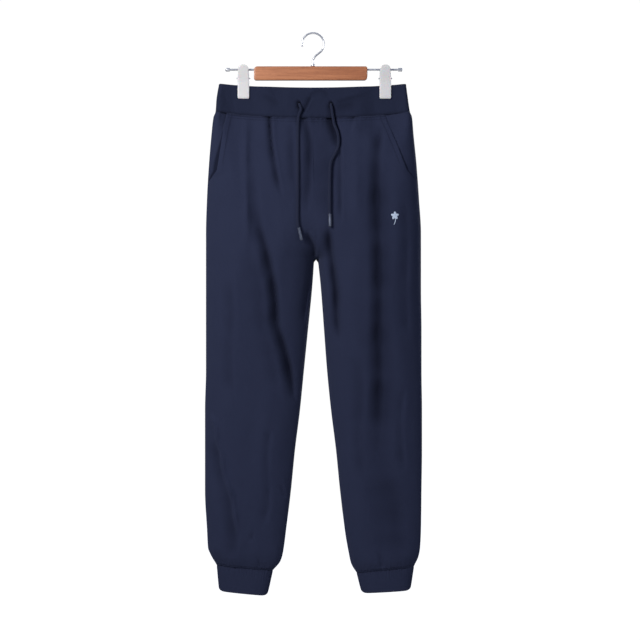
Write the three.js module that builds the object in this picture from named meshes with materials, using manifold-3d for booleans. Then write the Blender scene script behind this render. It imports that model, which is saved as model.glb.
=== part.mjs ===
// Jogger sweatpants hanging from a wooden clip hanger. Millimetres, +Z up, front facing -Y.
// The origin is inside the top of the hanger's hook, where it hangs on a rail.
// Left and right are the viewer's: -X is the wearer's right leg.

import * as THREE from 'three';
import { mergeVertices } from 'three/addons/utils/BufferGeometryUtils.js';
import Module from 'manifold-3d';

const wasm = await Module();
wasm.setup();

// Cloth thicknesses and the gap between neighbouring pieces
const SEAM_GAP = 0.3;
const BODY_CLOTH = 2;
const BAND_CLOTH = 3;
const CUFF_CLOTH = 2.5;

// Heights, all below the rail
const BAND_TOP_Z = -100;
const WAIST_Z = -156;
const CROTCH_Z = -451;
const CUFF_Z = -1067;
const TOP_SAG = 8;
const WAIST_SAG = 13;
const SAG_FADE_Z = -320;
const RISE_ROUND = 96;
const TILT_FADE_Z = -960;

const LEFT = -1;
const RIGHT = 1;
const FRONT = -1;
const BACK = 1;
const SIDES = { left: LEFT, right: RIGHT };
const FACES = { front: FRONT, back: BACK };

// The garment's cross-section at each height: x of the outer and inner edges of both legs, half-depths of front
// and back, and how far in from the outer and inner edge the section rounds over
const SECTION_COLUMNS = ['z', 'outLeft', 'outRight', 'inLeft', 'inRight', 'front', 'back', 'outRound', 'inRound'];
const SECTIONS = [
  [-100, -188, 186, 0, 0, 10, 8, 8, 30],
  [-130, -193, 190, 0, 0, 12, 10, 9, 30],
  [-156, -195, 194, 0, 0, 15, 13, 12, 35],
  [-166, -199, 198, 0, 0, 18, 16, 16, 38],
  [-200, -203, 201, 0, 0, 28, 25, 30, 45],
  [-260, -208, 207, 1, 1, 41, 38, 48, 58],
  [-330, -212, 212, 3, 3, 52, 50, 66, 72],
  [-400, -214, 216, 5, 5, 59, 57, 80, 86],
  [-451, -214, 216, 6, 6, 61, 60, 86, 95],
  [-457, -214, 216, 2, 10, 61, 60, 86, 95],
  [-472, -214, 216, 1, 12, 61, 60, 86, 95],
  [-512, -214, 216, -2, 16, 59, 58, 86, 90],
  [-592, -214, 217, -10, 22, 53, 52, 84, 86],
  [-672, -214, 217, -18, 28, 46, 45, 80, 80],
  [-752, -216, 218, -26, 36, 41, 41, 76, 76],
  [-832, -216, 218, -36, 46, 37, 37, 72, 72],
  [-912, -216, 217, -44, 54, 33, 33, 68, 68],
  [-992, -212, 216, -54, 64, 28, 28, 62, 62],
  [-1032, -210, 214, -60, 72, 25, 25, 58, 58],
  [-1048, -204, 211, -65, 76, 22, 22, 54, 54],
  [-1067, -192.5, 202, -80, 87, 15, 15, 50, 50],
];

// Each leg's cuff: how steeply the seam and the hem slope, in mm down per mm to the right, how far below CUFF_Z
// the seam's middle lies, the hem's middle height and its two edges
const CUFFS = {
  left: { seamSlope: 0.09, hemSlope: 0.1, seamDrop: 0, hemZ: -1117, hemOut: -188, hemIn: -91 },
  right: { seamSlope: -0.11, hemSlope: -0.06, seamDrop: 3.5, hemZ: -1114, hemOut: 195, hemIn: 97 },
};
const HEM_DEPTH = 12;

// Pinch of the two clips on the waistband
const CLIP_X = { left: -139, right: 144.5 };
const CLIP_HALF_CLOTH = 3.3;
const PINCH = { flatHalf: 17, softHalf: 56, fullZ: -131, endZ: -225 };

// The largest folds: x and z at the top, middle and end of each, half-width, depth into the cloth (raised where
// negative), and how far it is open at its top (1 where it starts full depth at the waist seam)
const FOLD_COLUMNS = ['face', 'xTop', 'xMid', 'xEnd', 'zTop', 'zEnd', 'half', 'depth', 'open'];
const FOLDS = [
  [FRONT, -140, -139, -136, -170, -450, 11, -4, 1],
  [FRONT, -88, -79, -60, -160, -345, 8, 6, 1],
  [FRONT, -128, -121, -102, -240, -440, 10, 4, 0],
  [FRONT, -107, -77, -42, -390, -765, 13, 12, 0],
  [FRONT, -46, -43, -38, -160, -365, 9, 3, 1],
  [FRONT, -17, -13, -18, -160, -380, 8, 4, 1],
  [FRONT, -9, -6, -22, -400, -600, 9, 6, 0],
  [FRONT, 22, 34, 40, -390, -620, 9, 8, 0],
  [FRONT, 53, 53, 54, -160, -390, 7, 2.5, 1],
  [FRONT, 73, 71, 68, -160, -230, 7, 3, 1],
  [FRONT, 76, 80, 78, -165, -400, 14, -4, 0],
  [FRONT, 129, 125, 126, -160, -870, 13, 11, 1],
  [FRONT, 124, 147, 156, -820, -1060, 20, 6, 0],
  [FRONT, -204, -177, -150, -750, -1005, 8, -3.5, 0],
  [FRONT, -208, -176, -162, -780, -1060, 12, 5, 0],
  [BACK, -112, -96, -70, -160, -420, 12, 6, 1],
  [BACK, -60, -52, -46, -160, -300, 8, 4, 1],
  [BACK, -14, -12, -16, -160, -260, 8, 3, 1],
  [BACK, 40, 44, 54, -160, -330, 9, 4.5, 1],
  [BACK, 92, 98, 112, -160, -480, 13, 7, 1],
  [BACK, 150, 152, 156, -160, -260, 8, 3, 1],
  [BACK, -104, -112, -128, -470, -900, 15, 9, 0],
  [BACK, 118, 120, 134, -450, -960, 16, 9, 0],
  [BACK, -30, -38, -52, -440, -640, 11, 6, 0],
  [BACK, 32, 36, 44, -440, -620, 9, 4, 0],
];
const FOLD_EDGE_FADE = 18;

// Slant pockets: z and x of the opening's edge from the waist seam down, where it meets the side seam, and how far
// it gapes
const POCKETS = {
  left: { edge: [[-156, -172], [-188, -178], [-225, -183], [-250, -186.5], [-275, -190.5]], bottomZ: -300, gape: 3.5 },
  right: { edge: [[-156, 143], [-188, 155], [-225, 168.5], [-250, 177.5], [-275, 187]], bottomZ: -300, gape: 1.2 },
};
const POCKET_UNDERLAP = 14;
const POCKET_UNDER = 2.8;
const POCKET_TAIL = 10;

// Grid sizes of the walls
const PANEL_COLUMNS = 15;
const PANEL_SPANS = [[-156, -200, 4], [-200, -275, 3], [-275, -300, 4], [-300, -400, 3], [-400, -451, 5], [-451, -472, 3],
  [-472, -1000, 11], [-1000, -1067, 5]];
const BAND_QUARTER = 15;
const BAND_SPANS = [[-100, -156, 4]];
const CUFF_QUARTER = 9;
const CUFF_ROWS = 4;
const FACING_COLUMNS = 6;
const FINE_SAMPLES = 90;
const MM_PER_RADIAN = 12;

// Drawcord ends: a round cord that leaves each buttonhole and hangs on the front, with a metal tip. Points by hand.
const CORD_RADIUS = 2.75;
const BUTTONHOLE = { width: 7, height: 11, depth: 8, y: -12, z: -142 };
const TIP = { radius: 3.4, length: 25, sleeve: 0.5 };
const CORD_ROUTES = {
  left: [[-28, -11, -139.4], [-27.6, -13.6, -141.6], [-26.3, -15.8, -144.6], [-24.6, -17.3, -148.4],
    [-24.2, -17.7, -152.5], [-26, -17.8, -158.5], [-28.4, -18.6, -165.5], [-29.6, -21.2, -177], [-29.9, -26.4, -195], [-30, -33.6, -220], [-29.9, -40.8, -250],
    [-29.8, -48.1, -285], [-29.8, -53.9, -320], [-29.9, -57.9, -350], [-30, -60.6, -372], [-29.4, -61.6, -383],
    [-27.6, -61.5, -391]],
  right: [[35.6, -11, -139.4], [35.7, -13.6, -141.6], [36, -15.8, -144.6], [36.6, -17.1, -148.4], [37.6, -17.6, -153],
    [39, -18.3, -163], [40.6, -20.4, -174], [42.6, -23.6, -184], [46.2, -26.2, -192], [49.2, -28.8, -201],
    [50.6, -31.6, -212], [50.2, -35, -226], [46.8, -38, -237], [42, -40.6, -246], [37.4, -43, -255],
    [34.6, -45.6, -266], [33.6, -49, -284], [33.4, -52.8, -308], [33.2, -56.6, -336], [33.3, -59.2, -354],
    [33.5, -59.8, -364]],
};

// Hanger: a flat wooden bar on a steel rod, end caps, two spring clips and a wire hook
const BAR = { left: -118, right: 109, top: -65, bottom: -93, thickness: 12, corners: [7, 4, 4, 7] };
const ROD = { radius: 2, z: -71.5, left: -166, right: 170, bore: 2.4 };
const CAP = { radius: 3.6, length: 9, dome: 2 };
const HOOK = { wire: 1.9, inside: 20, tipAngle: 195, turnAngle: -58 };
const COLLAR = { radius: 4.4, height: 5 };
const CLIP = { width: 23, top: -62.5, bottom: -130, pivotZ: -89, pinRadius: 1.3, pinLength: 27.5, lug: 4.4, plate: 3.4,
  corners: [5, 5, 2.5, 2.5] };
const JAW_REACH = 20;
const SPRING = { inner: 1.7, outer: 2.7, length: 11 };

const PALETTE = {
  cloth: { color: 0x2b3046, roughness: 0.92, metalness: 0 },
  rib: { color: 0x282d43, roughness: 0.94, metalness: 0 },
  cord: { color: 0x232840, roughness: 0.9, metalness: 0 },
  tip: { color: 0x8c8f99, roughness: 0.35, metalness: 1 },
  wood: { color: 0xb5764f, roughness: 0.45, metalness: 0 },
  clip: { color: 0xe4e3e6, roughness: 0.35, metalness: 0 },
  steel: { color: 0xb9bcc2, roughness: 0.25, metalness: 1 },
};

// Small helpers for numbers

function clamp01(value) {
  return Math.min(1, Math.max(0, value));
}

function smooth(value) {
  const t = clamp01(value);
  return t * t * (3 - 2 * t);
}

function lerp(a, b, t) {
  return a + (b - a) * t;
}

function named(columns, rows) {
  return rows.map((row) => Object.fromEntries(columns.map((name, i) => [name, row[i]])));
}

// A quarter of an ellipse: 0 at the edge, 1 from the rounding on
function quarter(distance, rounding) {
  const t = 1 - clamp01(distance / rounding);
  return Math.sqrt(1 - t * t);
}

const sectionRows = named(SECTION_COLUMNS, SECTIONS);
const folds = named(FOLD_COLUMNS, FOLDS);

// Slopes of a curve through the table that never overshoots its rows
function monotoneSlopes(name) {
  const n = sectionRows.length;
  const secants = [];
  for (let i = 0; i < n - 1; i++) {
    const rise = sectionRows[i + 1][name] - sectionRows[i][name];
    secants.push(rise / (sectionRows[i + 1].z - sectionRows[i].z));
  }
  const slopes = [secants[0]];
  for (let i = 1; i < n - 1; i++) {
    const [a, b] = [secants[i - 1], secants[i]];
    slopes.push(a * b <= 0 ? 0 : 2 * a * b / (a + b));
  }
  slopes.push(secants[n - 2]);
  return slopes;
}

const slopesOf = Object.fromEntries(SECTION_COLUMNS.slice(1).map((name) => [name, monotoneSlopes(name)]));

function sectionAt(z) {
  const last = sectionRows.length - 2;
  let i = 0;
  while (i < last && z < sectionRows[i + 1].z) i++;
  const [a, b] = [sectionRows[i], sectionRows[i + 1]];
  const h = b.z - a.z;
  const t = clamp01((z - a.z) / h);
  const section = {};
  for (const name of SECTION_COLUMNS.slice(1)) {
    const [ma, mb] = [slopesOf[name][i] * h, slopesOf[name][i + 1] * h];
    section[name] = a[name] * (1 + 2 * t) * (1 - t) ** 2 + ma * t * (1 - t) ** 2
      + b[name] * t * t * (3 - 2 * t) + mb * t * t * (t - 1);
  }
  // Share of the depth left at the centre: the rise seam rounds under the crotch as a quarter ellipse
  section.join = z > CROTCH_Z ? quarter(z - CROTCH_Z, RISE_ROUND) : 0;
  return section;
}

// How far a fold pushes the cloth outward at x: soft troughs and ridges along their paths
function foldPush(face, x, z) {
  let push = 0;
  for (const fold of folds) {
    const v = (fold.zTop - z) / (fold.zTop - fold.zEnd);
    if (fold.face !== face || v < 0 || v > 1) continue;
    const path = fold.xTop * (1 - v) * (1 - 2 * v) + fold.xMid * 4 * v * (1 - v) + fold.xEnd * v * (2 * v - 1);
    const across = (x - path) / fold.half;
    const along = Math.sin(Math.PI * lerp(fold.open / 2, 1, v));
    push -= fold.depth * along * Math.exp(-across * across);
  }
  return push;
}

// 1 under a clip, fading to 0 beside and below it
function pinchAt(x, z) {
  const near = Math.min(Math.abs(x - CLIP_X.left), Math.abs(x - CLIP_X.right));
  const across = 1 - smooth((near - PINCH.flatHalf) / (PINCH.softHalf - PINCH.flatHalf));
  return across * (1 - smooth((PINCH.fullZ - z) / (PINCH.fullZ - PINCH.endZ)));
}

// Rows hang lower in the middle of the waist and slope at the cuffs
function rowHeight(side, x, z) {
  const section = sectionAt(z);
  const fullSag = lerp(TOP_SAG, WAIST_SAG, clamp01((BAND_TOP_Z - z) / (BAND_TOP_Z - WAIST_Z)));
  const sag = fullSag * clamp01(1 - (x / section.outRight) ** 2) * smooth((z - SAG_FADE_Z) / (WAIST_Z - SAG_FADE_Z));
  const cuff = side === LEFT ? CUFFS.left : CUFFS.right;
  const middle = side === LEFT ? (section.outLeft + section.inLeft) / 2 : (section.outRight + section.inRight) / 2;
  const slope = cuff.seamDrop + cuff.seamSlope * (x - middle);
  const tilt = slope * smooth((TILT_FADE_Z - z) / (TILT_FADE_Z - CUFF_Z));
  return z - sag - tilt;
}

// The edges of a leg's half of the section. Inset shrinks it by the wall; above the crotch the inner edge stays open
function edgesOf(side, section, z, inset) {
  const out = (side === LEFT ? section.outLeft : section.outRight) - side * inset;
  const closed = z < CROTCH_Z - 0.5;
  const inner = (side === LEFT ? section.inLeft : section.inRight) + side * (closed ? inset : 0);
  return { out, inner };
}

// The cloth's distance in front of or behind the middle plane at x, folds included
function depthAt(side, face, section, z, x, inset, gap) {
  const { out, inner } = edgesOf(side, section, z, inset);
  const full = lerp(face === FRONT ? section.front : section.back, CLIP_HALF_CLOTH, pinchAt(x, z));
  const depth = full - inset;
  const join = clamp01((full * section.join - inset) / depth);
  const fromOut = Math.abs(x - out);
  const fromInner = Math.abs(inner - x);
  const shape = quarter(fromOut, section.outRound - inset)
    * lerp(quarter(fromInner, section.inRound - inset), 1, inset > 0 ? join : section.join);
  const keepInner = lerp(smooth(fromInner / FOLD_EDGE_FADE), 1, section.join);
  const fade = smooth(fromOut / FOLD_EDGE_FADE) * keepInner * (1 - pinchAt(x, z));
  const fold = z < WAIST_Z + 1 ? foldPush(face, x, z) * fade : 0;
  return Math.max(gap / 2, gap / 2 + (depth - gap / 2) * shape + fold);
}

// Points across one half of a section, from xFrom to xTo, closer together where the cloth turns
function halfSection(side, face, z, { inset = 0, gap = SEAM_GAP, count, xFrom, extra }) {
  const section = sectionAt(z);
  const { out, inner } = edgesOf(side, section, z, inset);
  const start = xFrom ?? out;
  const end = inner + (z > CROTCH_Z - 0.5 ? side * gap / 2 : 0);
  const fine = [];
  for (let i = 0; i <= FINE_SAMPLES; i++) {
    const x = lerp(start, end, (1 - Math.cos(Math.PI * i / FINE_SAMPLES)) / 2);
    const push = extra ? extra(x, z) : 0;
    fine.push([x, face * (depthAt(side, face, section, z, x, inset, gap) + push)]);
  }
  const reach = [0];
  for (let i = 1; i < fine.length; i++) {
    const step = [fine[i][0] - fine[i - 1][0], fine[i][1] - fine[i - 1][1]];
    const next = i + 1 < fine.length ? [fine[i + 1][0] - fine[i][0], fine[i + 1][1] - fine[i][1]] : step;
    const turn = Math.abs(Math.atan2(step[0] * next[1] - step[1] * next[0], step[0] * next[0] + step[1] * next[1]));
    reach.push(reach[i - 1] + Math.hypot(...step) + MM_PER_RADIAN * turn);
  }
  const total = reach[FINE_SAMPLES];
  const points = [];
  let at = 0;
  for (let k = 0; k <= count; k++) {
    const goal = total * k / count;
    while (at < FINE_SAMPLES - 1 && reach[at + 1] < goal) at++;
    const t = clamp01((goal - reach[at]) / (reach[at + 1] - reach[at]));
    points.push([lerp(fine[at][0], fine[at + 1][0], t), lerp(fine[at][1], fine[at + 1][1], t)]);
  }
  return points;
}

function levelsOf(spans) {
  const levels = [spans[0][0]];
  for (const [from, to, steps] of spans) {
    for (let i = 1; i <= steps; i++) levels.push(lerp(from, to, i / steps));
  }
  return levels;
}

// Turning grids of points into closed walls

function indexedGeometry(points, triangles) {
  const geometry = new THREE.BufferGeometry();
  geometry.setAttribute('position', new THREE.Float32BufferAttribute(points.flat(), 3));
  geometry.setIndex(triangles.flat());
  let volume = 0;
  const [a, b, c] = [new THREE.Vector3(), new THREE.Vector3(), new THREE.Vector3()];
  for (const [i, j, k] of triangles) {
    volume += a.fromArray(points[i]).dot(b.fromArray(points[j]).cross(c.fromArray(points[k])));
  }
  if (volume < 0) geometry.setIndex(triangles.map(([i, j, k]) => [i, k, j]).flat());
  geometry.computeVertexNormals();
  return geometry;
}

// A wall between two grids of rows of points. A ring closes its columns on themselves
function wallGeometry(outer, inner, ring = false) {
  const rows = outer.length;
  const columns = outer[0].length;
  const points = [...outer.flat(), ...inner.flat()];
  const id = (layer, row, column) => layer * rows * columns + row * columns + column % columns;
  const triangles = [];
  const quad = (a, b, c, d) => triangles.push([a, b, c], [a, c, d]);
  const across = ring ? columns : columns - 1;
  for (let r = 0; r < rows - 1; r++) {
    for (let c = 0; c < across; c++) {
      quad(id(0, r, c), id(0, r, c + 1), id(0, r + 1, c + 1), id(0, r + 1, c));
      quad(id(1, r, c), id(1, r + 1, c), id(1, r + 1, c + 1), id(1, r, c + 1));
    }
  }
  for (let c = 0; c < across; c++) {
    quad(id(0, 0, c), id(1, 0, c), id(1, 0, c + 1), id(0, 0, c + 1));
    quad(id(0, rows - 1, c), id(0, rows - 1, c + 1), id(1, rows - 1, c + 1), id(1, rows - 1, c));
  }
  for (let r = 0; r < rows - 1 && !ring; r++) {
    quad(id(0, r, 0), id(0, r + 1, 0), id(1, r + 1, 0), id(1, r, 0));
    quad(id(0, r, columns - 1), id(1, r, columns - 1), id(1, r + 1, columns - 1), id(0, r + 1, columns - 1));
  }
  return indexedGeometry(points, triangles);
}

function solidOf(geometry) {
  const bare = geometry.index ? geometry.toNonIndexed() : geometry.clone();
  for (const name of Object.keys(bare.attributes)) {
    if (name !== 'position') bare.deleteAttribute(name);
  }
  const merged = mergeVertices(bare, 1e-3);
  return new wasm.Manifold(new wasm.Mesh({
    numProp: 3,
    vertProperties: merged.attributes.position.array,
    triVerts: new Uint32Array(merged.index.array),
  }));
}

function geometryOf(solid) {
  const mesh = solid.getMesh();
  const geometry = new THREE.BufferGeometry();
  geometry.setAttribute('position', new THREE.BufferAttribute(new Float32Array(mesh.vertProperties), 3));
  geometry.setIndex(new THREE.BufferAttribute(new Uint32Array(mesh.triVerts), 1));
  geometry.computeVertexNormals();
  return geometry;
}

// The garment's pieces

// A leg panel from the waist seam to the cuff seam, and from the outseam (or the pocket's edge) to the centre
// and inseam
function panelGeometry(sideName, faceName) {
  const [side, face] = [SIDES[sideName], FACES[faceName]];
  const pocket = face === FRONT ? POCKETS[sideName] : null;
  const levels = levelsOf(PANEL_SPANS);
  const gape = (x, z) => {
    if (!pocket || z < pocket.bottomZ) return 0;
    const along = clamp01((WAIST_Z - z) / (WAIST_Z - pocket.bottomZ));
    const fromEdge = Math.abs(x - slantX(side, pocket, z)) / POCKET_UNDERLAP;
    return pocket.gape * Math.sin(Math.PI * along ** 1.4) * Math.exp(-fromEdge * fromEdge);
  };
  const grid = (inset) => levels.map((z, row) => {
    const shut = row === levels.length - 1 ? -SEAM_GAP / 2 : 0;
    const xFrom = pocket && z > pocket.bottomZ ? slantX(side, pocket, z) : undefined;
    const points = halfSection(side, face, z, { inset, count: PANEL_COLUMNS, xFrom, extra: gape });
    return points.map(([x, y], column) => {
      const atCrotch = Math.abs(z - CROTCH_Z) < 0.5 && column === PANEL_COLUMNS;
      const open = row === 0 ? -SEAM_GAP / 2 : 0;
      return [x, y, rowHeight(side, x, z) + open - shut + (atCrotch ? inset : 0)];
    });
  });
  return wallGeometry(grid(0), grid(BODY_CLOTH));
}

// The pocket's edge runs through the points of its table and on to the side seam
function slantX(side, pocket, z) {
  const bottom = sectionAt(pocket.bottomZ);
  const rows = [...pocket.edge, [pocket.bottomZ, side === LEFT ? bottom.outLeft : bottom.outRight]];
  let i = 0;
  while (i < rows.length - 2 && z < rows[i + 1][0]) i++;
  const [[zTop, xTop], [zEnd, xEnd]] = [rows[i], rows[i + 1]];
  return lerp(xTop, xEnd, clamp01((zTop - z) / (zTop - zEnd)));
}

// The side piece that shows in the pocket's opening: level with the side seam, then under the front panel's edge
function facingGeometry(sideName) {
  const side = SIDES[sideName];
  const pocket = POCKETS[sideName];
  const levels = levelsOf(PANEL_SPANS).filter((z) => z > pocket.bottomZ - 1);
  levels.push(pocket.bottomZ - POCKET_TAIL);
  const under = BODY_CLOTH + POCKET_UNDER;
  const grid = (inset) => levels.map((z, row) => {
    const section = sectionAt(z);
    const { out } = edgesOf(side, section, z, 0);
    const open = Math.abs(slantX(side, pocket, z) - out);
    const reach = open + POCKET_UNDERLAP;
    const shut = smooth(1.4 * (1 - open / POCKET_UNDERLAP));
    const points = [];
    for (let i = 0; i <= FACING_COLUMNS; i++) {
      const across = (i / FACING_COLUMNS) ** 1.5 * reach;
      const down = inset + under * Math.max(shut, smooth(across / Math.max(open, 1) / 0.7));
      const x = out - side * (down + across * (1 - down / reach));
      const depth = depthAt(side, FRONT, section, z, x, down, SEAM_GAP);
      points.push([x, -depth, rowHeight(side, x, z) - (row === 0 ? SEAM_GAP / 2 : 0)]);
    }
    return points;
  });
  return wallGeometry(grid(0), grid(BODY_CLOTH));
}

// A closed loop round both halves of the section, for the waistband
function bandLoop(z, inset) {
  const loop = [];
  const run = (side, face, backward) => {
    const points = halfSection(side, face, z, { inset, gap: 0, count: BAND_QUARTER });
    const ordered = (backward ? points.reverse() : points).slice(0, BAND_QUARTER);
    for (const [x, y] of ordered) loop.push([x, y, rowHeight(side, x, z)]);
  };
  run(LEFT, FRONT, false);
  run(RIGHT, FRONT, true);
  run(RIGHT, BACK, false);
  run(LEFT, BACK, true);
  return loop;
}

function waistbandGeometry() {
  const levels = levelsOf(BAND_SPANS);
  const raise = (loop, row) => loop.map(([x, y, z]) => [x, y, z + (row === levels.length - 1 ? SEAM_GAP / 2 : 0)]);
  const grid = (inset) => levels.map((z, row) => raise(bandLoop(z, inset), row));
  let solid = solidOf(wallGeometry(grid(0), grid(BAND_CLOTH), true));
  for (const route of Object.values(CORD_ROUTES)) {
    const hole = new THREE.BoxGeometry(BUTTONHOLE.width, BUTTONHOLE.depth, BUTTONHOLE.height);
    hole.translate(route[0][0], BUTTONHOLE.y, BUTTONHOLE.z);
    solid = solid.subtract(solidOf(hole));
  }
  return geometryOf(solid);
}

// A cuff is a short tube from the gathered leg seam to the hem
function cuffGeometry(sideName) {
  const side = SIDES[sideName];
  const cuff = CUFFS[sideName];
  const top = sectionAt(CUFF_Z);
  const seam = edgesOf(side, top, CUFF_Z, 0);
  const loopAt = (v, inset) => {
    const out = lerp(seam.out, cuff.hemOut, v) - side * inset;
    const inner = lerp(seam.inner, cuff.hemIn, v) + side * inset;
    const depth = lerp(top.front, HEM_DEPTH, v) - inset;
    const z = lerp(CUFF_Z - cuff.seamDrop - SEAM_GAP / 2, cuff.hemZ, v);
    const slope = lerp(cuff.seamSlope, cuff.hemSlope, v);
    const [middle, half] = [(out + inner) / 2, Math.abs(out - inner) / 2];
    const loop = [];
    for (let i = 0; i < 4 * CUFF_QUARTER; i++) {
      const angle = Math.PI / 2 * i / CUFF_QUARTER;
      const x = middle + half * Math.cos(angle);
      loop.push([x, depth * Math.sin(angle), z - slope * (x - middle)]);
    }
    return loop;
  };
  const grid = (inset) => {
    const rows = [];
    for (let r = 0; r <= CUFF_ROWS; r++) rows.push(loopAt(r / CUFF_ROWS, inset));
    return rows;
  };
  return wallGeometry(grid(0), grid(CUFF_CLOTH), true);
}

// Round pieces

function tubeGeometry(points, radius, steps, sides) {
  const curve = new THREE.CatmullRomCurve3(points.map((p) => new THREE.Vector3(...p)), false, 'centripetal');
  const round = new THREE.Shape();
  for (let i = 0; i < sides; i++) {
    const angle = 2 * Math.PI * i / sides;
    const [x, y] = [radius * Math.cos(angle), radius * Math.sin(angle)];
    if (i === 0) round.moveTo(x, y);
    else round.lineTo(x, y);
  }
  round.closePath();
  return new THREE.ExtrudeGeometry(round, { steps, extrudePath: curve, bevelEnabled: false });
}

// A lathe about a line from a point in a direction. The profile has [radius, distance] pairs
function turnedGeometry(profile, segments, at, direction) {
  const geometry = new THREE.LatheGeometry(profile.map(([r, d]) => new THREE.Vector2(r, d)), segments);
  const turn = new THREE.Quaternion().setFromUnitVectors(new THREE.Vector3(0, 1, 0), direction.clone().normalize());
  geometry.applyQuaternion(turn);
  geometry.translate(...at);
  return geometry;
}

function cordGeometry(name) {
  return tubeGeometry(CORD_ROUTES[name], CORD_RADIUS, 28, 8);
}

// A metal tip pushed on the cord's end, in line with it
function tipGeometry(name) {
  const route = CORD_ROUTES[name];
  const [before, end] = [new THREE.Vector3(...route.at(-2)), new THREE.Vector3(...route.at(-1))];
  const direction = end.clone().sub(before).normalize();
  const start = end.clone().addScaledVector(direction, SEAM_GAP);
  const { radius, length, sleeve } = TIP;
  const profile = [[0, 0], [radius - sleeve, 0], [radius, sleeve], [radius, length - 2 * sleeve],
    [radius - 2 * sleeve, length], [0, length]];
  return turnedGeometry(profile, 12, start.toArray(), direction);
}

// The hanger's pieces

// A board upright in X and Z, centred on the middle plane, with its corners rounded: top left, top right, bottom
// right and bottom left
function boardGeometry({ left, right, top, bottom, thickness, corners }) {
  const [topLeft, topRight, bottomRight, bottomLeft] = corners;
  const outline = new THREE.Shape();
  outline.absarc(right - bottomRight, bottom + bottomRight, bottomRight, -Math.PI / 2, 0);
  outline.absarc(right - topRight, top - topRight, topRight, 0, Math.PI / 2);
  outline.absarc(left + topLeft, top - topLeft, topLeft, Math.PI / 2, Math.PI);
  outline.absarc(left + bottomLeft, bottom + bottomLeft, bottomLeft, Math.PI, 1.5 * Math.PI);
  const board = new THREE.ExtrudeGeometry(outline, { depth: thickness, bevelEnabled: false, curveSegments: 4 });
  board.translate(0, 0, -thickness / 2);
  return board.rotateX(Math.PI / 2);
}

function barGeometry() {
  const bore = rodPiece(ROD.bore, BAR.left - 5, BAR.right + 5, 12);
  return geometryOf(solidOf(boardGeometry(BAR)).subtract(solidOf(bore)));
}

// A cylinder along X at the rod's height
function rodPiece(radius, from, to, sides, z = ROD.z) {
  const cylinder = new THREE.CylinderGeometry(radius, radius, to - from, sides);
  cylinder.rotateZ(Math.PI / 2);
  cylinder.translate((from + to) / 2, 0, z);
  return cylinder;
}

function capGeometry(side) {
  const x = side === LEFT ? ROD.left - SEAM_GAP : ROD.right + SEAM_GAP;
  const { radius, length, dome } = CAP;
  const profile = [[0, 0], [radius, 0], [radius, length - dome], [radius - dome, length], [0, length]];
  return turnedGeometry(profile, 12, [x, 0, ROD.z], new THREE.Vector3(side, 0, 0));
}

// Wire bent as a question mark: the inside top of its round is at the origin, above the stem
function hookGeometry() {
  const { wire, inside, tipAngle, turnAngle } = HOOK;
  const radius = inside + wire;
  const middle = -inside;
  const points = [];
  for (let angle = tipAngle; angle >= turnAngle; angle -= 23) {
    const a = THREE.MathUtils.degToRad(angle);
    points.push([radius * Math.cos(a), 0, middle + radius * Math.sin(a)]);
  }
  const stemTop = BAR.top + COLLAR.height + 8;
  points.push([3.2, 0, stemTop + 5.5], [0.2, 0, stemTop], [0, 0, stemTop - 5]);
  points.push([0, 0, BAR.top + COLLAR.height + SEAM_GAP * 2]);
  return tubeGeometry(points, wire, 34, 8);
}

function collarGeometry() {
  const { radius, height } = COLLAR;
  const profile = [[0, 0], [radius, 0], [radius, height - 1], [radius - 1, height], [0, height]];
  return turnedGeometry(profile, 12, [0, 0, BAR.top + SEAM_GAP], new THREE.Vector3(0, 0, 1));
}

// A side profile in Y and Z, extruded along X over the given stretch
function profileGeometry(points, from, to, hole) {
  const outline = new THREE.Shape(points.map(([y, z]) => new THREE.Vector2(y, z)));
  if (hole) {
    const ring = [];
    for (let i = 0; i < hole.sides; i++) {
      const angle = 2 * Math.PI * i / hole.sides;
      ring.push(new THREE.Vector2(hole.y + hole.radius * Math.cos(angle), hole.z + hole.radius * Math.sin(angle)));
    }
    outline.holes.push(new THREE.Path(ring));
  }
  const geometry = new THREE.ExtrudeGeometry(outline, { depth: to - from, bevelEnabled: false });
  const place = new THREE.Matrix4().set(0, 0, 1, from, 1, 0, 0, 0, 0, 1, 0, 0, 0, 0, 0, 1);
  return geometry.applyMatrix4(place);
}

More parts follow.
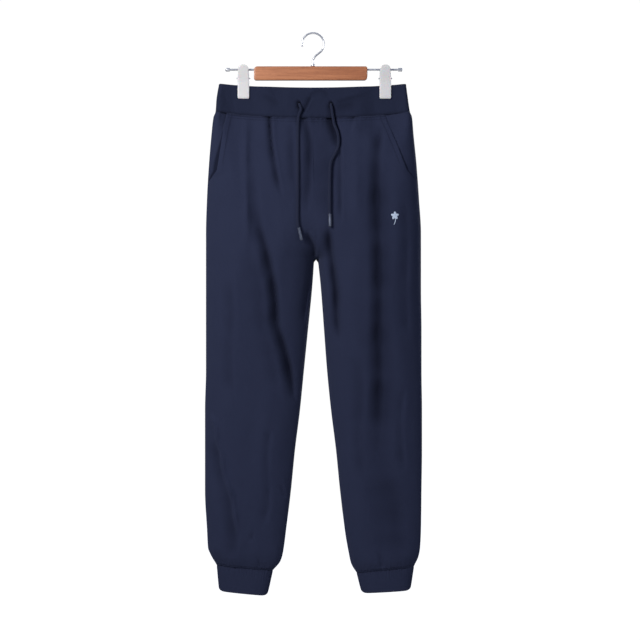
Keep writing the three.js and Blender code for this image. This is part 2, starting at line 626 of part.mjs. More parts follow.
// One jaw of a clip: a plate from the finger grip down to the gripping end, and lugs round the pivot pin. The
// front jaw has the outer lugs, the back jaw the middle one and the eye that slides on the rod
function jawGeometry(clipX, face) {
  const { width, top, bottom, pivotZ, lug, plate, pinRadius, corners } = CLIP;
  const grip = CLIP_HALF_CLOTH + SEAM_GAP;
  const outline = [[grip, bottom], [grip + plate * 0.7, bottom], [grip + plate, bottom + 3], [grip + plate, pivotZ - 8],
    [grip + plate + 1, pivotZ], [grip + plate + 5.6, top - 6], [grip + plate + 6.3, top], [grip + 5, top],
    [grip + 0.6, pivotZ + 3], [grip + 0.2, pivotZ - 10]];
  const mirrored = outline.map(([y, z]) => [face * y, z]);
  const [left, right] = [clipX - width / 2, clipX + width / 2];
  const front = solidOf(boardGeometry({ left, right, top, bottom, thickness: 2 * JAW_REACH, corners }));
  let jaw = solidOf(profileGeometry(mirrored, left, right)).intersect(front);
  if (jaw.volume() <= 0) throw new Error('a clip jaw is inside out');
  const lugs = face === FRONT ? [[-width / 2, -width / 2 + 3.2], [width / 2 - 3.2, width / 2]] : [[-7.6, -6], [6, 7.6]];
  const lugOutline = [[face * (grip + 1.5), pivotZ - lug], [face * (grip + 1.5), pivotZ + lug], [-face * lug * 0.6, pivotZ + lug],
    [-face * lug * 0.6, pivotZ - lug]];
  const pinHole = { y: 0, z: pivotZ, radius: pinRadius + SEAM_GAP, sides: 10 };
  for (const [from, to] of lugs) {
    jaw = jaw.add(solidOf(profileGeometry(lugOutline, clipX + from, clipX + to, pinHole)));
  }
  if (face === BACK) {
    const eye = [[grip + 5.8, ROD.z - 4.5], [grip + 5.8, ROD.z + 4.5], [-4.2, ROD.z + 4.5], [-4.2, ROD.z - 4.5]];
    const rodHole = { y: 0, z: ROD.z, radius: ROD.radius + SEAM_GAP * 1.3, sides: 12 };
    jaw = jaw.add(solidOf(profileGeometry(eye, clipX - 5, clipX + 5, rodHole)));
  }
  return geometryOf(jaw);
}

function pinGeometry(clipX) {
  return rodPiece(CLIP.pinRadius, clipX - CLIP.pinLength / 2, clipX + CLIP.pinLength / 2, 10, CLIP.pivotZ);
}

// The coil spring round the pin, as a sleeve of its outer shape
function springGeometry(clipX) {
  const { inner, outer, length } = SPRING;
  const profile = [[inner, 0], [outer, 0], [outer, length], [inner, length], [inner, 0]];
  return turnedGeometry(profile, 12, [clipX - length / 2, 0, CLIP.pivotZ], new THREE.Vector3(1, 0, 0));
}

// Putting the pieces together

const materials = {};
for (const [name, look] of Object.entries(PALETTE)) {
  materials[name] = new THREE.MeshStandardMaterial(look);
}

function piece(name, geometry, material) {
  const mesh = new THREE.Mesh(geometry, materials[material]);
  mesh.name = name;
  return mesh;
}

const trousers = new THREE.Group();
trousers.add(piece('waistband', waistbandGeometry(), 'rib'));
for (const sideName of Object.keys(SIDES)) {
  for (const faceName of Object.keys(FACES)) {
    trousers.add(piece(`${faceName}_panel_${sideName}`, panelGeometry(sideName, faceName), 'cloth'));
  }
  trousers.add(piece(`pocket_facing_${sideName}`, facingGeometry(sideName), 'cloth'));
  trousers.add(piece(`cuff_${sideName}`, cuffGeometry(sideName), 'rib'));
  trousers.add(piece(`drawcord_${sideName}`, cordGeometry(sideName), 'cord'));
  trousers.add(piece(`cord_tip_${sideName}`, tipGeometry(sideName), 'tip'));
}

const hanger = new THREE.Group();
hanger.add(piece('hanger_bar', barGeometry(), 'wood'));
hanger.add(piece('hanger_rod', rodPiece(ROD.radius, ROD.left, ROD.right, 12), 'steel'));
hanger.add(piece('hanger_hook', hookGeometry(), 'steel'));
hanger.add(piece('hook_collar', collarGeometry(), 'steel'));
for (const [sideName, side] of Object.entries(SIDES)) {
  const clipX = CLIP_X[sideName];
  hanger.add(piece(`rod_cap_${sideName}`, capGeometry(side), 'clip'));
  hanger.add(piece(`clip_front_jaw_${sideName}`, jawGeometry(clipX, FRONT), 'clip'));
  hanger.add(piece(`clip_back_jaw_${sideName}`, jawGeometry(clipX, BACK), 'clip'));
  hanger.add(piece(`clip_pin_${sideName}`, pinGeometry(clipX), 'steel'));
  hanger.add(piece(`clip_spring_${sideName}`, springGeometry(clipX), 'steel'));
}

const part = new THREE.Group();
part.add(trousers, hanger);

export default part;
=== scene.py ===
import bpy
import numpy as np
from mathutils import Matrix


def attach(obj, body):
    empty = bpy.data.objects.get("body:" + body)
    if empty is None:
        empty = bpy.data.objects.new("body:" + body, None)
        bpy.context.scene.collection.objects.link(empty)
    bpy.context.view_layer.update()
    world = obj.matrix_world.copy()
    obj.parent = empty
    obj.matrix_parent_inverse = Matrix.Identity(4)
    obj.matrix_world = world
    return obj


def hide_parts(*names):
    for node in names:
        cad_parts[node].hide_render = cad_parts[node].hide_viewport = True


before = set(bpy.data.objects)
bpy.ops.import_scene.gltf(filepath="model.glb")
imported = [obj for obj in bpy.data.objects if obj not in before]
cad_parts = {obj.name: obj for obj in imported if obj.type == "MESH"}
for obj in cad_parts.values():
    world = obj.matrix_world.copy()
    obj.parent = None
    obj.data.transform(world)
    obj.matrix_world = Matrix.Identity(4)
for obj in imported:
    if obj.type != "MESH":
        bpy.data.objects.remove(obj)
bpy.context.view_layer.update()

# Camera: straight on from the front and level with the middle of the trousers, 4 m away, where the picture
# is 1.28 m wide, which is 2 mm to a pixel. Places here and in the cords' routes are in metres; every other
# size in this file is in millimetres and turned into metres when its mesh is made. Left is the viewer's
# left.
camera = bpy.data.objects.new("camera", bpy.data.cameras.new("camera"))
camera.data.lens, camera.data.sensor_width = 112.5, 36
camera.location, camera.rotation_euler = (0.014, -4.0, -0.572), (np.pi / 2, 0, 0)
bpy.context.scene.collection.objects.link(camera)
bpy.context.scene.camera = camera


# Drawcords: the two free ends of one braided cotton cord, out through a buttonhole each and down the front.
# Each end hangs on the cloth and is closed by a pressed metal tip, which is the piece on it.
CORD_ROUTES = {
    "left": [[-0.028, -0.011, -0.1394], [-0.0276, -0.0136, -0.1416], [-0.0263, -0.0158, -0.1446],
             [-0.0246, -0.0173, -0.1484], [-0.0242, -0.0177, -0.1525], [-0.026, -0.0178, -0.1585],
             [-0.0284, -0.0186, -0.1655], [-0.0296, -0.0212, -0.177], [-0.0299, -0.0264, -0.195],
             [-0.03, -0.0336, -0.22], [-0.0299, -0.0408, -0.25], [-0.0298, -0.0481, -0.285],
             [-0.0298, -0.0539, -0.32], [-0.0299, -0.0579, -0.35], [-0.03, -0.0606, -0.372],
             [-0.0294, -0.0616, -0.383], [-0.0276, -0.0615, -0.391]],
    "right": [[0.0356, -0.011, -0.1394], [0.0357, -0.0136, -0.1416], [0.036, -0.0158, -0.1446],
              [0.0366, -0.0171, -0.1484], [0.0376, -0.0176, -0.153], [0.039, -0.0183, -0.163],
              [0.0406, -0.0204, -0.174], [0.0426, -0.0236, -0.184], [0.0462, -0.0262, -0.192],
              [0.0492, -0.0288, -0.201], [0.0506, -0.0316, -0.212], [0.0502, -0.035, -0.226],
              [0.0468, -0.038, -0.237], [0.042, -0.0406, -0.246], [0.0374, -0.043, -0.255],
              [0.0346, -0.0456, -0.266], [0.0336, -0.049, -0.284], [0.0334, -0.0528, -0.308],
              [0.0332, -0.0566, -0.336], [0.0333, -0.0592, -0.354], [0.0335, -0.0598, -0.364]],
}
CORD_RADIUS = 2.75
BRAID_PITCH, BRAID_STRANDS, BRAID_RELIEF = 4.4, 4, 0.2
TIP_RADIUS, TIP_LENGTH = 3.4, 25
CORD_COLOUR, TIP_COLOUR = (32, 37, 57), (104, 110, 125)


def linear(red, green, blue):
    """A screen colour, 0 to 255, as the linear numbers that a shader takes."""
    c = np.array([red, green, blue]) / 255
    return (*np.where(c <= 0.04045, c / 12.92, ((c + 0.055) / 1.055) ** 2.4), 1.0)


def finish_named(name, **sockets):
    """A material and its one shader. What is the same all over goes straight onto the shader's own
    sockets, named with _ for a space."""
    made = bpy.data.materials.new(name)
    made.use_nodes = True
    shader = made.node_tree.nodes["Principled BSDF"]
    for socket, value in sockets.items():
        shader.inputs[socket.replace("_", " ")].default_value = value
    return made, shader


def add(finish, kind, inputs, **settings):
    """Adds one shader node. A socket among its inputs is linked, and anything else is set as that input's
    value."""
    made = finish.node_tree.nodes.new("ShaderNode" + kind)
    for key, value in settings.items():
        setattr(made, key, value)
    for key, value in inputs.items():
        if isinstance(value, bpy.types.NodeSocket):
            finish.node_tree.links.new(value, made.inputs[key])
        else:
            made.inputs[key].default_value = value
    return made


def calc(finish, operation, a, b=0.0):
    """One step of arithmetic on sockets or numbers."""
    return add(finish, "Math", {0: a, 1: b}, operation=operation).outputs[0]


def blend(finish, factor, a, b, how="MIX"):
    """Two colours mixed by a factor."""
    return add(finish, "Mix", {0: factor, 6: a, 7: b}, data_type="RGBA", blend_type=how).outputs[2]


def object_place(finish):
    """The place on the object, in metres."""
    return add(finish, "TexCoord", {}).outputs["Object"]


def noise(finish, way, scale, detail=2.0, **more):
    """A noise texture's factor over a vector."""
    return add(finish, "TexNoise", {"Vector": way, "Scale": scale, "Detail": detail, **more}).outputs[0]


def wire_up(finish, shader, colour=None, rough=None, height=None, relief=0.1, strength=1.0):
    """Links colour, roughness and height to the shader; relief is the bump's depth in millimetres."""
    if colour is not None:
        finish.node_tree.links.new(colour, shader.inputs["Base Color"])
    if rough is not None:
        finish.node_tree.links.new(rough, shader.inputs["Roughness"])
    if height is not None:
        bump = add(finish, "Bump", {"Height": height, "Distance": relief / 1000, "Strength": strength})
        finish.node_tree.links.new(bump.outputs["Normal"], shader.inputs["Normal"])
    return finish


def evenly(path, count):
    """The path's points again, at equal distances along it."""
    along = np.concatenate([[0], np.cumsum(np.linalg.norm(np.diff(path, axis=0), axis=1))])
    goal = np.linspace(0, along[-1], count)
    return np.stack([np.interp(goal, along, path[:, k]) for k in range(path.shape[1])], axis=1)


def smooth_path(points, count):
    """A cubic from point to point. Its direction at a point is the mean of the two chords there, each
    weighted by the other's length. It is then spaced evenly."""
    points = np.asarray(points, float)
    step = np.diff(points, axis=0)
    chord = np.linalg.norm(step, axis=1)[:, None]
    slope = step / chord
    inside = (slope[:-1] * chord[1:] + slope[1:] * chord[:-1]) / (chord[1:] + chord[:-1])
    way = np.concatenate([slope[:1], inside, slope[-1:]])
    t = np.linspace(0, 1, 25)[None, :-1, None]
    a, b = points[:-1, None], points[1:, None]
    ma, mb = (way[:-1] * chord)[:, None], (way[1:] * chord)[:, None]
    curve = ((2 * t**3 - 3 * t**2 + 1) * a + (t**3 - 2 * t**2 + t) * ma
             + (3 * t**2 - 2 * t**3) * b + (t**3 - t**2) * mb)
    return evenly(np.concatenate([curve.reshape(-1, points.shape[1]), points[-1:]]), count)


def tube(path, radius, sides, across=(1, 0, 0)):
    """Rings along a path: the centre, plus the radius times the cosine of an angle to one side and its
    sine upwards, both square to the path. The radius is one number, one a ring, or one a point."""
    along = np.gradient(path, axis=0)
    along /= np.linalg.norm(along, axis=1)[:, None]
    side = np.asarray(across, float) - along * (along @ np.asarray(across, float))[:, None]
    side /= np.linalg.norm(side, axis=1)[:, None]
    up = np.cross(along, side)
    angle = np.arange(sides) * 2 * np.pi / sides
    radius = np.asarray(radius, float)
    radius = radius[:, None, None] if radius.ndim == 1 else radius[..., None] if radius.ndim == 2 else radius
    return path[:, None] + radius * (np.cos(angle)[None, :, None] * side[:, None]
                                     + np.sin(angle)[None, :, None] * up[:, None])


def turned(profile, start, direction, sides=40):
    """A turned piece: a circle at each height and radius of its profile, square to its axis."""
    profile, start = np.asarray(profile, float), np.asarray(start, float)
    axis = np.asarray(direction, float) / np.linalg.norm(direction)
    side = np.cross(axis, (0, 1, 0))
    side /= np.linalg.norm(side)
    angle = np.arange(sides)[None, :, None] * 2 * np.pi / sides
    ring = np.cos(angle) * side + np.sin(angle) * np.cross(axis, side)
    return start + profile[:, 0, None, None] * axis + profile[:, 1, None, None] * ring


def patch(points, ring=False, wrap=False, caps=False, uv=None, **values):
    """One grid of points and the four-sided faces between neighbours. ring joins the last column to the
    first, wrap the last row to the first, and caps closes both end rows. UVs are in metres along the
    cloth."""
    rows, columns = points.shape[:2]
    index = np.arange(rows * columns).reshape(rows, columns)
    index = np.concatenate([index, index[:, :1]], axis=1) if ring else index
    index = np.concatenate([index, index[:1]], axis=0) if wrap else index
    corners = [(slice(None, -1), slice(None, -1)), (slice(None, -1), slice(1, None)),
               (slice(1, None), slice(1, None)), (slice(1, None), slice(None, -1))]
    faces = np.stack([index[c] for c in corners], axis=-1).reshape(-1, 4).tolist()
    loops = np.zeros((len(faces) * 4, 2))
    if uv is not None:
        loops = np.stack([uv[c] for c in corners], axis=2).reshape(-1, 2)
    if caps:
        faces += [index[0, :columns][::-1].tolist(), index[-1, :columns].tolist()]
        loops = np.concatenate([loops, np.zeros((2 * columns, 2))])
    values = {key: np.broadcast_to(value, (rows, columns)).ravel() for key, value in values.items()}
    return {"points": points.reshape(-1, 3), "faces": faces, "loops": loops, "values": values}


def mesh_of(name, *patches, sharp=50):
    """One object from patches in millimetres, smooth but for edges sharper than an angle in degrees."""
    start = np.cumsum([0] + [len(p["points"]) for p in patches])
    faces = [[i + s for i in face] for p, s in zip(patches, start) for face in p["faces"]]
    mesh = bpy.data.meshes.new(name)
    mesh.from_pydata(np.concatenate([p["points"] for p in patches]) / 1000, [], faces)
    layer = mesh.uv_layers.new(name="cloth")
    layer.data.foreach_set("uv", np.concatenate([p["loops"] for p in patches]).ravel())
    for key in patches[0]["values"]:
        made = mesh.attributes.new(key, "FLOAT", "POINT")
        made.data.foreach_set("value", np.concatenate([p["values"][key] for p in patches]).astype(np.float32))
    mesh.shade_smooth()
    mesh.set_sharp_from_angle(angle=np.radians(sharp))
    made = bpy.data.objects.new(name, mesh)
    bpy.context.scene.collection.objects.link(made)
    return made


def dress(piece, finish, slot, *stands_for):
    """Gives a piece its material, hides the CAD nodes it stands for, and lets it ride. slot is not used."""
    piece.data.materials.append(finish)
    if stands_for:
        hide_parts(*stands_for)
    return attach(piece, "root")


cord_finish, shader = finish_named("braided_cotton", Roughness=0.95, Sheen_Weight=0.05, Sheen_Roughness=0.5,
                                   Specular_IOR_Level=0.15)
weave = add(cord_finish, "SeparateXYZ", {0: add(cord_finish, "UVMap", {}).outputs[0]})
turns = calc(cord_finish, "MULTIPLY", weave.outputs[0], BRAID_STRANDS * 2 * np.pi)
runs = calc(cord_finish, "MULTIPLY", weave.outputs[1], 2 * np.pi * 1000 / BRAID_PITCH)
left_lay = calc(cord_finish, "COSINE", calc(cord_finish, "ADD", turns, runs))
right_lay = calc(cord_finish, "COSINE", calc(cord_finish, "SUBTRACT", turns, runs))
crossing = calc(cord_finish, "MULTIPLY", left_lay, right_lay)
yarn = noise(cord_finish, object_place(cord_finish), 1400.0, 3.0)
shade = calc(cord_finish, "MULTIPLY_ADD", crossing, 0.3)
shade.node.inputs[2].default_value = 0.7
tone = blend(cord_finish, shade, linear(17, 20, 34), linear(*CORD_COLOUR))
tone = blend(cord_finish, 0.35, tone, blend(cord_finish, yarn, linear(14, 17, 30), linear(48, 54, 76)))
cord_height = calc(cord_finish, "ADD", crossing, yarn)
wire_up(cord_finish, shader, tone, None, cord_height, 0.18)

tip_finish, shader = finish_named("brushed_nickel", Metallic=0.6)
brush = add(tip_finish, "Mapping", {0: object_place(tip_finish), "Scale": (1.0, 1.0, 14.0)})
streak = noise(tip_finish, brush.outputs[0], 260.0, 4.0)
wear = noise(tip_finish, object_place(tip_finish), 120.0)
wire_up(tip_finish, shader, blend(tip_finish, wear, linear(56, 61, 76), linear(*TIP_COLOUR)),
        calc(tip_finish, "MULTIPLY_ADD", streak, 0.3), streak, 0.02)
shader.inputs["Roughness"].links[0].from_node.inputs[2].default_value = 0.3

for side_name, route in CORD_ROUTES.items():
    middle = smooth_path(np.array(route) * 1000, 420)
    reach = np.linalg.norm(np.diff(middle, axis=0), axis=1).sum()
    height = np.linspace(0, reach, len(middle))[:, None]
    angle = np.arange(25)[None] / 24
    lay = 2 * np.pi * height / BRAID_PITCH
    strands = BRAID_STRANDS * 2 * np.pi * angle[:, :-1]
    lift = np.cos(strands + lay) * np.cos(strands - lay)
    squeezed = 0.5 + 0.5 * np.clip(height / 5, 0, 1)
    rings = tube(middle, (CORD_RADIUS - BRAID_RELIEF + BRAID_RELIEF * lift) * squeezed, 24)
    uv = np.stack(np.broadcast_arrays(angle, height / 1000), axis=-1)
    cord = mesh_of(f"braided_cord_{side_name}", patch(rings, ring=True, caps=True, uv=uv))
    dress(cord, cord_finish, "cord", f"drawcord_{side_name}")
    way = middle[-1] - middle[-2]
    wide, end = TIP_RADIUS, TIP_LENGTH
    profile = [(-0.9, 2.9), (-0.7, wide - 0.15), (-0.3, wide), (0.6, wide), (0.9, wide - 0.2),
               (1.2, wide - 0.25), (3.4, wide - 0.25), (3.6, wide - 0.55), (4.4, wide - 0.55),
               (4.6, wide - 0.25), (12, wide - 0.3), (end - 3, wide - 0.45), (end - 1.6, wide - 0.6),
               (end - 0.7, wide - 1.1), (end - 0.2, wide - 2), (end, 0.5)]
    tip = mesh_of(f"metal_tip_{side_name}", patch(turned(profile, middle[-1], way), ring=True, caps=True),
                  sharp=35)
    dress(tip, tip_finish, "cord_tip", f"cord_tip_{side_name}")


# Waistband: one strip of fine rib, folded in two along its top edge and sewn to the panels below it. The
# clips press it flat at both sides. It carries two worked buttonholes, and its lower seam draws it into
# small puckers.
SIDES, FACES = {"left": -1, "right": 1}, {"front": -1, "back": 1}
BAND_TOP_Z, WAIST_Z, CROTCH_Z, CUFF_Z = -100, -156, -451, -1067
TOP_SAG, WAIST_SAG, SAG_FADE_Z = 8, 13, -320
RISE_ROUND, TILT_FADE_Z = 96, -960
CLIP_X, CLIP_HALF_CLOTH = (-139, 144.5), 3.3
BAND_CLOTH = 3
BUTTONHOLES, HOLE_SAG = ((-28, -142), (35.6, -142)), 10.8
CUFF_TILT = {-1: (0, 0.09), 1: (3.5, -0.11)}  # drop of the seam, and its slope outwards
# The garment's section at each level: z, the two outer edges, the two inner edges, depth in front and
# behind, and how far the cloth takes to round off at the outer and inner edges
BODY_ROWS = np.array([
    [-100, -188, 186, 0, 0, 10, 8, 8, 30], [-130, -193, 190, 0, 0, 12, 10, 9, 30],
    [-156, -195, 194, 0, 0, 15, 13, 12, 35], [-166, -199, 198, 0, 0, 18, 16, 16, 38],
    [-200, -203, 201, 0, 0, 28, 25, 30, 45], [-260, -208, 207, 1, 1, 41, 38, 48, 58],
    [-330, -212, 212, 3, 3, 52, 50, 66, 72], [-400, -214, 216, 5, 5, 59, 57, 80, 86],
    [-451, -214, 216, 6, 6, 61, 60, 86, 95], [-457, -214, 216, 2, 10, 61, 60, 86, 95],
    [-472, -214, 216, 1, 12, 61, 60, 86, 95], [-512, -214, 216, -2, 16, 59, 58, 86, 90],
    [-592, -214, 217, -10, 22, 53, 52, 84, 86], [-672, -214, 217, -18, 28, 46, 45, 80, 80],
    [-752, -216, 218, -26, 36, 41, 41, 76, 76], [-832, -216, 218, -36, 46, 37, 37, 72, 72],
    [-912, -216, 217, -44, 54, 33, 33, 68, 68], [-992, -212, 216, -54, 64, 28, 28, 62, 62],
    [-1032, -210, 214, -60, 72, 25, 25, 58, 58], [-1048, -204, 211, -65, 76, 22, 22, 54, 54],
    [-1067, -192.5, 202, -80, 87, 15, 15, 50, 50]])[::-1]


def smooth(t):
    """0 to 1 with level ends: three times the square less twice the cube."""
    t = np.clip(t, 0, 1)
    return t * t * (3 - 2 * t)


def quarter(distance, rounding):
    """The height of a quarter circle, 0 at no distance and 1 past the rounding."""
    return np.sqrt(1 - (1 - np.clip(distance / rounding, 0, 1)) ** 2)


def body_at(side, z):
    """The section's numbers at levels z. Between two rows runs a cubic whose slope at a row is the
    harmonic mean of the slopes beside it, and none at a peak."""
    level, table = BODY_ROWS[:, 0], BODY_ROWS[:, 1:]
    secant = np.diff(table, axis=0) / np.diff(level)[:, None]
    alike = secant[:-1] * secant[1:] > 0
    mean = np.where(alike, 2 * secant[:-1] * secant[1:] / np.where(alike, secant[:-1] + secant[1:], 1), 0)
    slope = np.concatenate([secant[:1], mean, secant[-1:]])
    i = np.clip(np.searchsorted(level, z) - 1, 0, len(level) - 2)
    width = (level[i + 1] - level[i])[..., None]
    t = ((z - level[i]) / width[..., 0])[..., None]
    row = ((2 * t**3 - 3 * t**2 + 1) * table[i] + (t**3 - 2 * t**2 + t) * width * slope[i]
           + (3 * t**2 - 2 * t**3) * table[i + 1] + (t**3 - t**2) * width * slope[i + 1])
    out, inner = (row[..., 0], row[..., 2]) if side < 0 else (row[..., 1], row[..., 3])
    return {"out": out, "inner": inner, "front": row[..., 4], "back": row[..., 5],
            "out_round": row[..., 6], "in_round": row[..., 7]}


def pinch(x, z):
    """1 under a clip and 0 away from it, fading beside and below it."""
    near = np.minimum(abs(x - CLIP_X[0]), abs(x - CLIP_X[1]))
    return (1 - smooth((near - 17) / 39)) * (1 - smooth((-131 - z) / 94))


def hang(side, x, z):
    """The height of a point of level z: lower towards the middle of the waist, and tilted with the cuff's
    seam."""
    edge = body_at(1, z)["out"]
    sag = TOP_SAG + (WAIST_SAG - TOP_SAG) * np.clip((BAND_TOP_Z - z) / (BAND_TOP_Z - WAIST_Z), 0, 1)
    sag = sag * np.clip(1 - (x / edge) ** 2, 0, 1) * smooth((z - SAG_FADE_Z) / (WAIST_Z - SAG_FADE_Z))
    drop, slope = CUFF_TILT[side]
    half = body_at(side, z)
    tilt = drop + slope * (x - (half["out"] + half["inner"]) / 2)
    tilt = tilt * smooth((TILT_FADE_Z - z) / (TILT_FADE_Z - CUFF_Z))
    return z - sag - tilt


def crease(x, z, half, depth, sharp, lean, fade_in, fade_out, route):
    """How far one crease takes the cloth inwards. Across it, the push is its depth times e to the minus
    of the distance over half, squared for a soft trough and less for a sharp one, and lean raises a ridge
    beside it, to the right where positive. A trough's bottom lies a little right of its route, its left
    wall is long and its right wall steep. Along it, the depth wavers a little and fades at both ends."""
    path = smooth_path(route, 26)
    start, step = path[:-1], np.diff(path, axis=0)
    length = np.linalg.norm(step, axis=1)
    gap = np.stack([x, z], axis=-1)[..., None, :] - start
    t = np.clip((gap * step).sum(-1) / length**2, 0, 1)
    rest = gap - t[..., None] * step
    distance = np.linalg.norm(rest, axis=-1)
    pick = distance.argmin(-1)[..., None]
    take = lambda a: np.take_along_axis(a, pick, -1)[..., 0]
    side = np.sign(take(step[:, 0] * rest[..., 1] - step[:, 1] * rest[..., 0]))
    along = take(t * length + np.concatenate([[0], np.cumsum(length)[:-1]]))
    lane = side * take(distance) - 0.35 * half * (depth > 0)
    u = lane / (half * (1 - 0.3 * np.sign(lane) * (depth > 0)))
    bell = np.exp(-np.sqrt(u**2 + 0.02 * sharp) ** (2 - sharp))
    ridge = abs(lean) * np.exp(-(((u - 1.8 * np.sign(lean)) / 0.9) ** 2))
    waver = 1 + 0.16 * np.sin(along / 21 + route[0][0]) + 0.1 * np.sin(along / 8.7 + route[0][1])
    ends = smooth((along + 1) / max(fade_in, 1)) * smooth((length.sum() - along + 1) / max(fade_out, 1))
    return depth * (bell - ridge) * waver * ends


def creases(x, z, table):
    """The sum of a table's creases, each worked out only near its own route."""
    total = np.zeros_like(x)
    for row in table:
        route = np.array(row[-1], float)
        reach = 4 * row[0]
        near = ((x > route[:, 0].min() - reach) & (x < route[:, 0].max() + reach)
                & (z > route[:, 1].min() - reach) & (z < route[:, 1].max() + reach))
        if near.any():
            total[near] += crease(x[near], z[near], *row)
    return total


def pucker(x, seed):
    """Uneven small waves along a seam, between -1 and 1: two sines whose pitch wanders."""
    return (0.6 * np.sin(x / 1.75 + 2.1 * np.sin(x / 13 + seed))
            + 0.4 * np.sin(x / 3.3 + 2.7 * np.sin(x / 23 + 2 * seed)))


CREASE_SHADE = 0.85  # how much of the shade colour a deep crease takes
CREASE_FULL = 10  # millimetres of push at which a crease is at its darkest


def knit(name, colour, wale, course, relief, rib=0.0):
    """A matt knit. Stitches are V-shaped: their height is a wave down the cloth, set forward by the
    distance from the middle of a wale, times a hump across the wale; rib adds a wider hump over every
    second one. Broad noise varies the dye. The hollows between stitches get painted shade, and the crease
    attribute paints shade into the bottoms of folds and seam grooves."""
    made, shader = finish_named(name, Roughness=0.95, Sheen_Weight=0.1, Sheen_Roughness=0.4,
                                Sheen_Tint=(0.5, 0.6, 1.0, 1.0), Specular_IOR_Level=0.15)
    spot = add(made, "SeparateXYZ", {0: add(made, "UVMap", {}).outputs[0]})
    across = calc(made, "MULTIPLY", spot.outputs[0], 1000 / wale)
    down = calc(made, "MULTIPLY", spot.outputs[1], 1000 / course)
    off = calc(made, "ABSOLUTE", calc(made, "SUBTRACT", calc(made, "FRACT", across), 0.5))
    vee = calc(made, "SINE", calc(made, "MULTIPLY", calc(made, "ADD", down, calc(made, "MULTIPLY", off, 0.9)),
                                  2 * np.pi))
    hump = calc(made, "COSINE", calc(made, "MULTIPLY", off, np.pi))
    stitch = calc(made, "MULTIPLY", calc(made, "ADD", calc(made, "MULTIPLY", vee, 0.35), 0.65), hump)
    if rib:
        wide = calc(made, "ABSOLUTE", calc(made, "SINE", calc(made, "MULTIPLY", across, np.pi / 2)))
        stitch = calc(made, "ADD", calc(made, "MULTIPLY", stitch, 1 - rib), calc(made, "MULTIPLY", wide, rib))
    place = object_place(made)
    fuzz = noise(made, place, 900.0, 2.0)
    dye = noise(made, place, 14.0, 5.0, Roughness=0.62)
    fleck = noise(made, place, 420.0, 3.0)
    base = np.array(linear(*colour))
    darker, lighter = tuple(base * (0.84, 0.84, 0.86, 1)), tuple(base * (1.18, 1.17, 1.14, 1))
    tone = blend(made, dye, darker, lighter)
    tone = blend(made, 0.45, tone, blend(made, fleck, darker, lighter))
    # Painted shade: the hollows between stitches are darkened.
    tone = blend(made, calc(made, "MULTIPLY", calc(made, "SUBTRACT", 1.0, stitch), 0.3), tone,
                 tuple(base * (0.6, 0.6, 0.64, 1)))
    # Painted shade: the crease attribute darkens fold bottoms and seam grooves towards a near-black blue.
    fold = add(made, "Attribute", {}, attribute_name="crease").outputs["Fac"]
    tone = blend(made, calc(made, "MULTIPLY", fold, CREASE_SHADE), tone, tuple(base * (0.2, 0.22, 0.3, 1)))
    return wire_up(made, shader, tone, None, calc(made, "ADD", stitch, calc(made, "MULTIPLY", fuzz, 0.5)),
                   relief)


def band_ring(z, inset, count=120):
    """A loop round the waist at each of the levels z: along the front from left to right, then back
    behind. Across each quarter the points gather at its ends as the cosine does."""
    share = np.arange(count) / count
    loops = []
    for side, face, backward in ((-1, "front", False), (1, "front", True), (1, "back", False),
                                 (-1, "back", True)):
        s = 1 - share if backward else share
        half = {key: value[:, None] for key, value in body_at(side, z).items()}
        edge = half["out"] - side * inset[:, None]
        x = edge + (half["inner"] - edge) * (1 - np.cos(np.pi * s)) / 2
        level = z[:, None] + 0 * x
        full = half[face] + (CLIP_HALF_CLOTH - half[face]) * pinch(x, level)
        depth = (full - inset[:, None]) * quarter(abs(x - edge), half["out_round"] - inset[:, None])
        height = hang(side, x, level)
        clipped = pinch(x, level)
        seam = np.exp(-(((level - WAIST_Z) / 3.2) ** 2))
        soft = 1 - clipped
        if face == "front":
            push = creases(x, height, BAND_CREASES) * soft
        else:
            push = creases(-x, height, BAND_CREASES[6:]) * soft * 0.8
        small = 0.55 * pucker(x + 40 * FACES[face], 1.0) * np.exp(-abs(level - WAIST_Z) / 7) * soft
        ease = np.clip(abs(x - half["out"]) / 8, 0, 1)
        depth = np.maximum(depth - (push + small + 0.9 * seam * (1 + clipped)) * ease * (inset[:, None] < 1),
                           0.02)
        # The last value is painted shade in the band's creases and along its seam.
        loops.append((x, FACES[face] * depth, height, np.clip(push / 4 + seam * 0.5, 0, 1)))
    return [np.concatenate(part, axis=1) for part in zip(*loops)]


# Creases on the band: half width, depth, sharpness, lean, fades, route
BAND_CREASES = [  # the first six are round the buttonholes and only in front
    (3.6, 1.5, 0, 0, 1, 1, [(-29, -137), (-29, -147)]),
    (3.6, 1.5, 0, 0, 1, 1, [(34.6, -137), (34.6, -147)]),
    (4, 2.4, 0.5, 0.3, 6, 4, [(-5, -126), (-12, -141), (-20, -156)]),
    (4, 2.0, 0.4, 0.3, 4, 4, [(-31, -134), (-27, -148), (-22, -160)]),
    (6, 2.6, 0.3, 0, 5, 2, [(36, -143), (37, -152), (39, -168)]),
    (5, 1.2, 0.3, 0.2, 10, 12, [(-7, -130), (4, -120), (20, -117), (32, -130)]),
    (6, 1.5, 0.4, 0.3, 12, 40, [(46, -141), (70, -134), (100, -126), (128, -119)]),
    (8, 1.2, 0.1, -0.2, 12, 20, [(44, -152), (66, -148), (92, -142)]),
    (7, 1.2, 0.2, 0.2, 30, 14, [(-118, -118), (-92, -130), (-66, -146)]),
    (5, 0.8, 0.3, 0.2, 12, 18, [(-96, -108), (-80, -122), (-70, -138)]),
    (6, 1.0, 0.2, 0.3, 16, 12, [(176, -118), (170, -136), (166, -152)]),
    (6, 0.9, 0.2, 0.3, 12, 12, [(-182, -112), (-176, -132), (-172, -150)]),
    (9, -0.9, 0.0, 0.0, 10, 10, [(-48, -112), (-50, -130), (-47, -150)]),
]

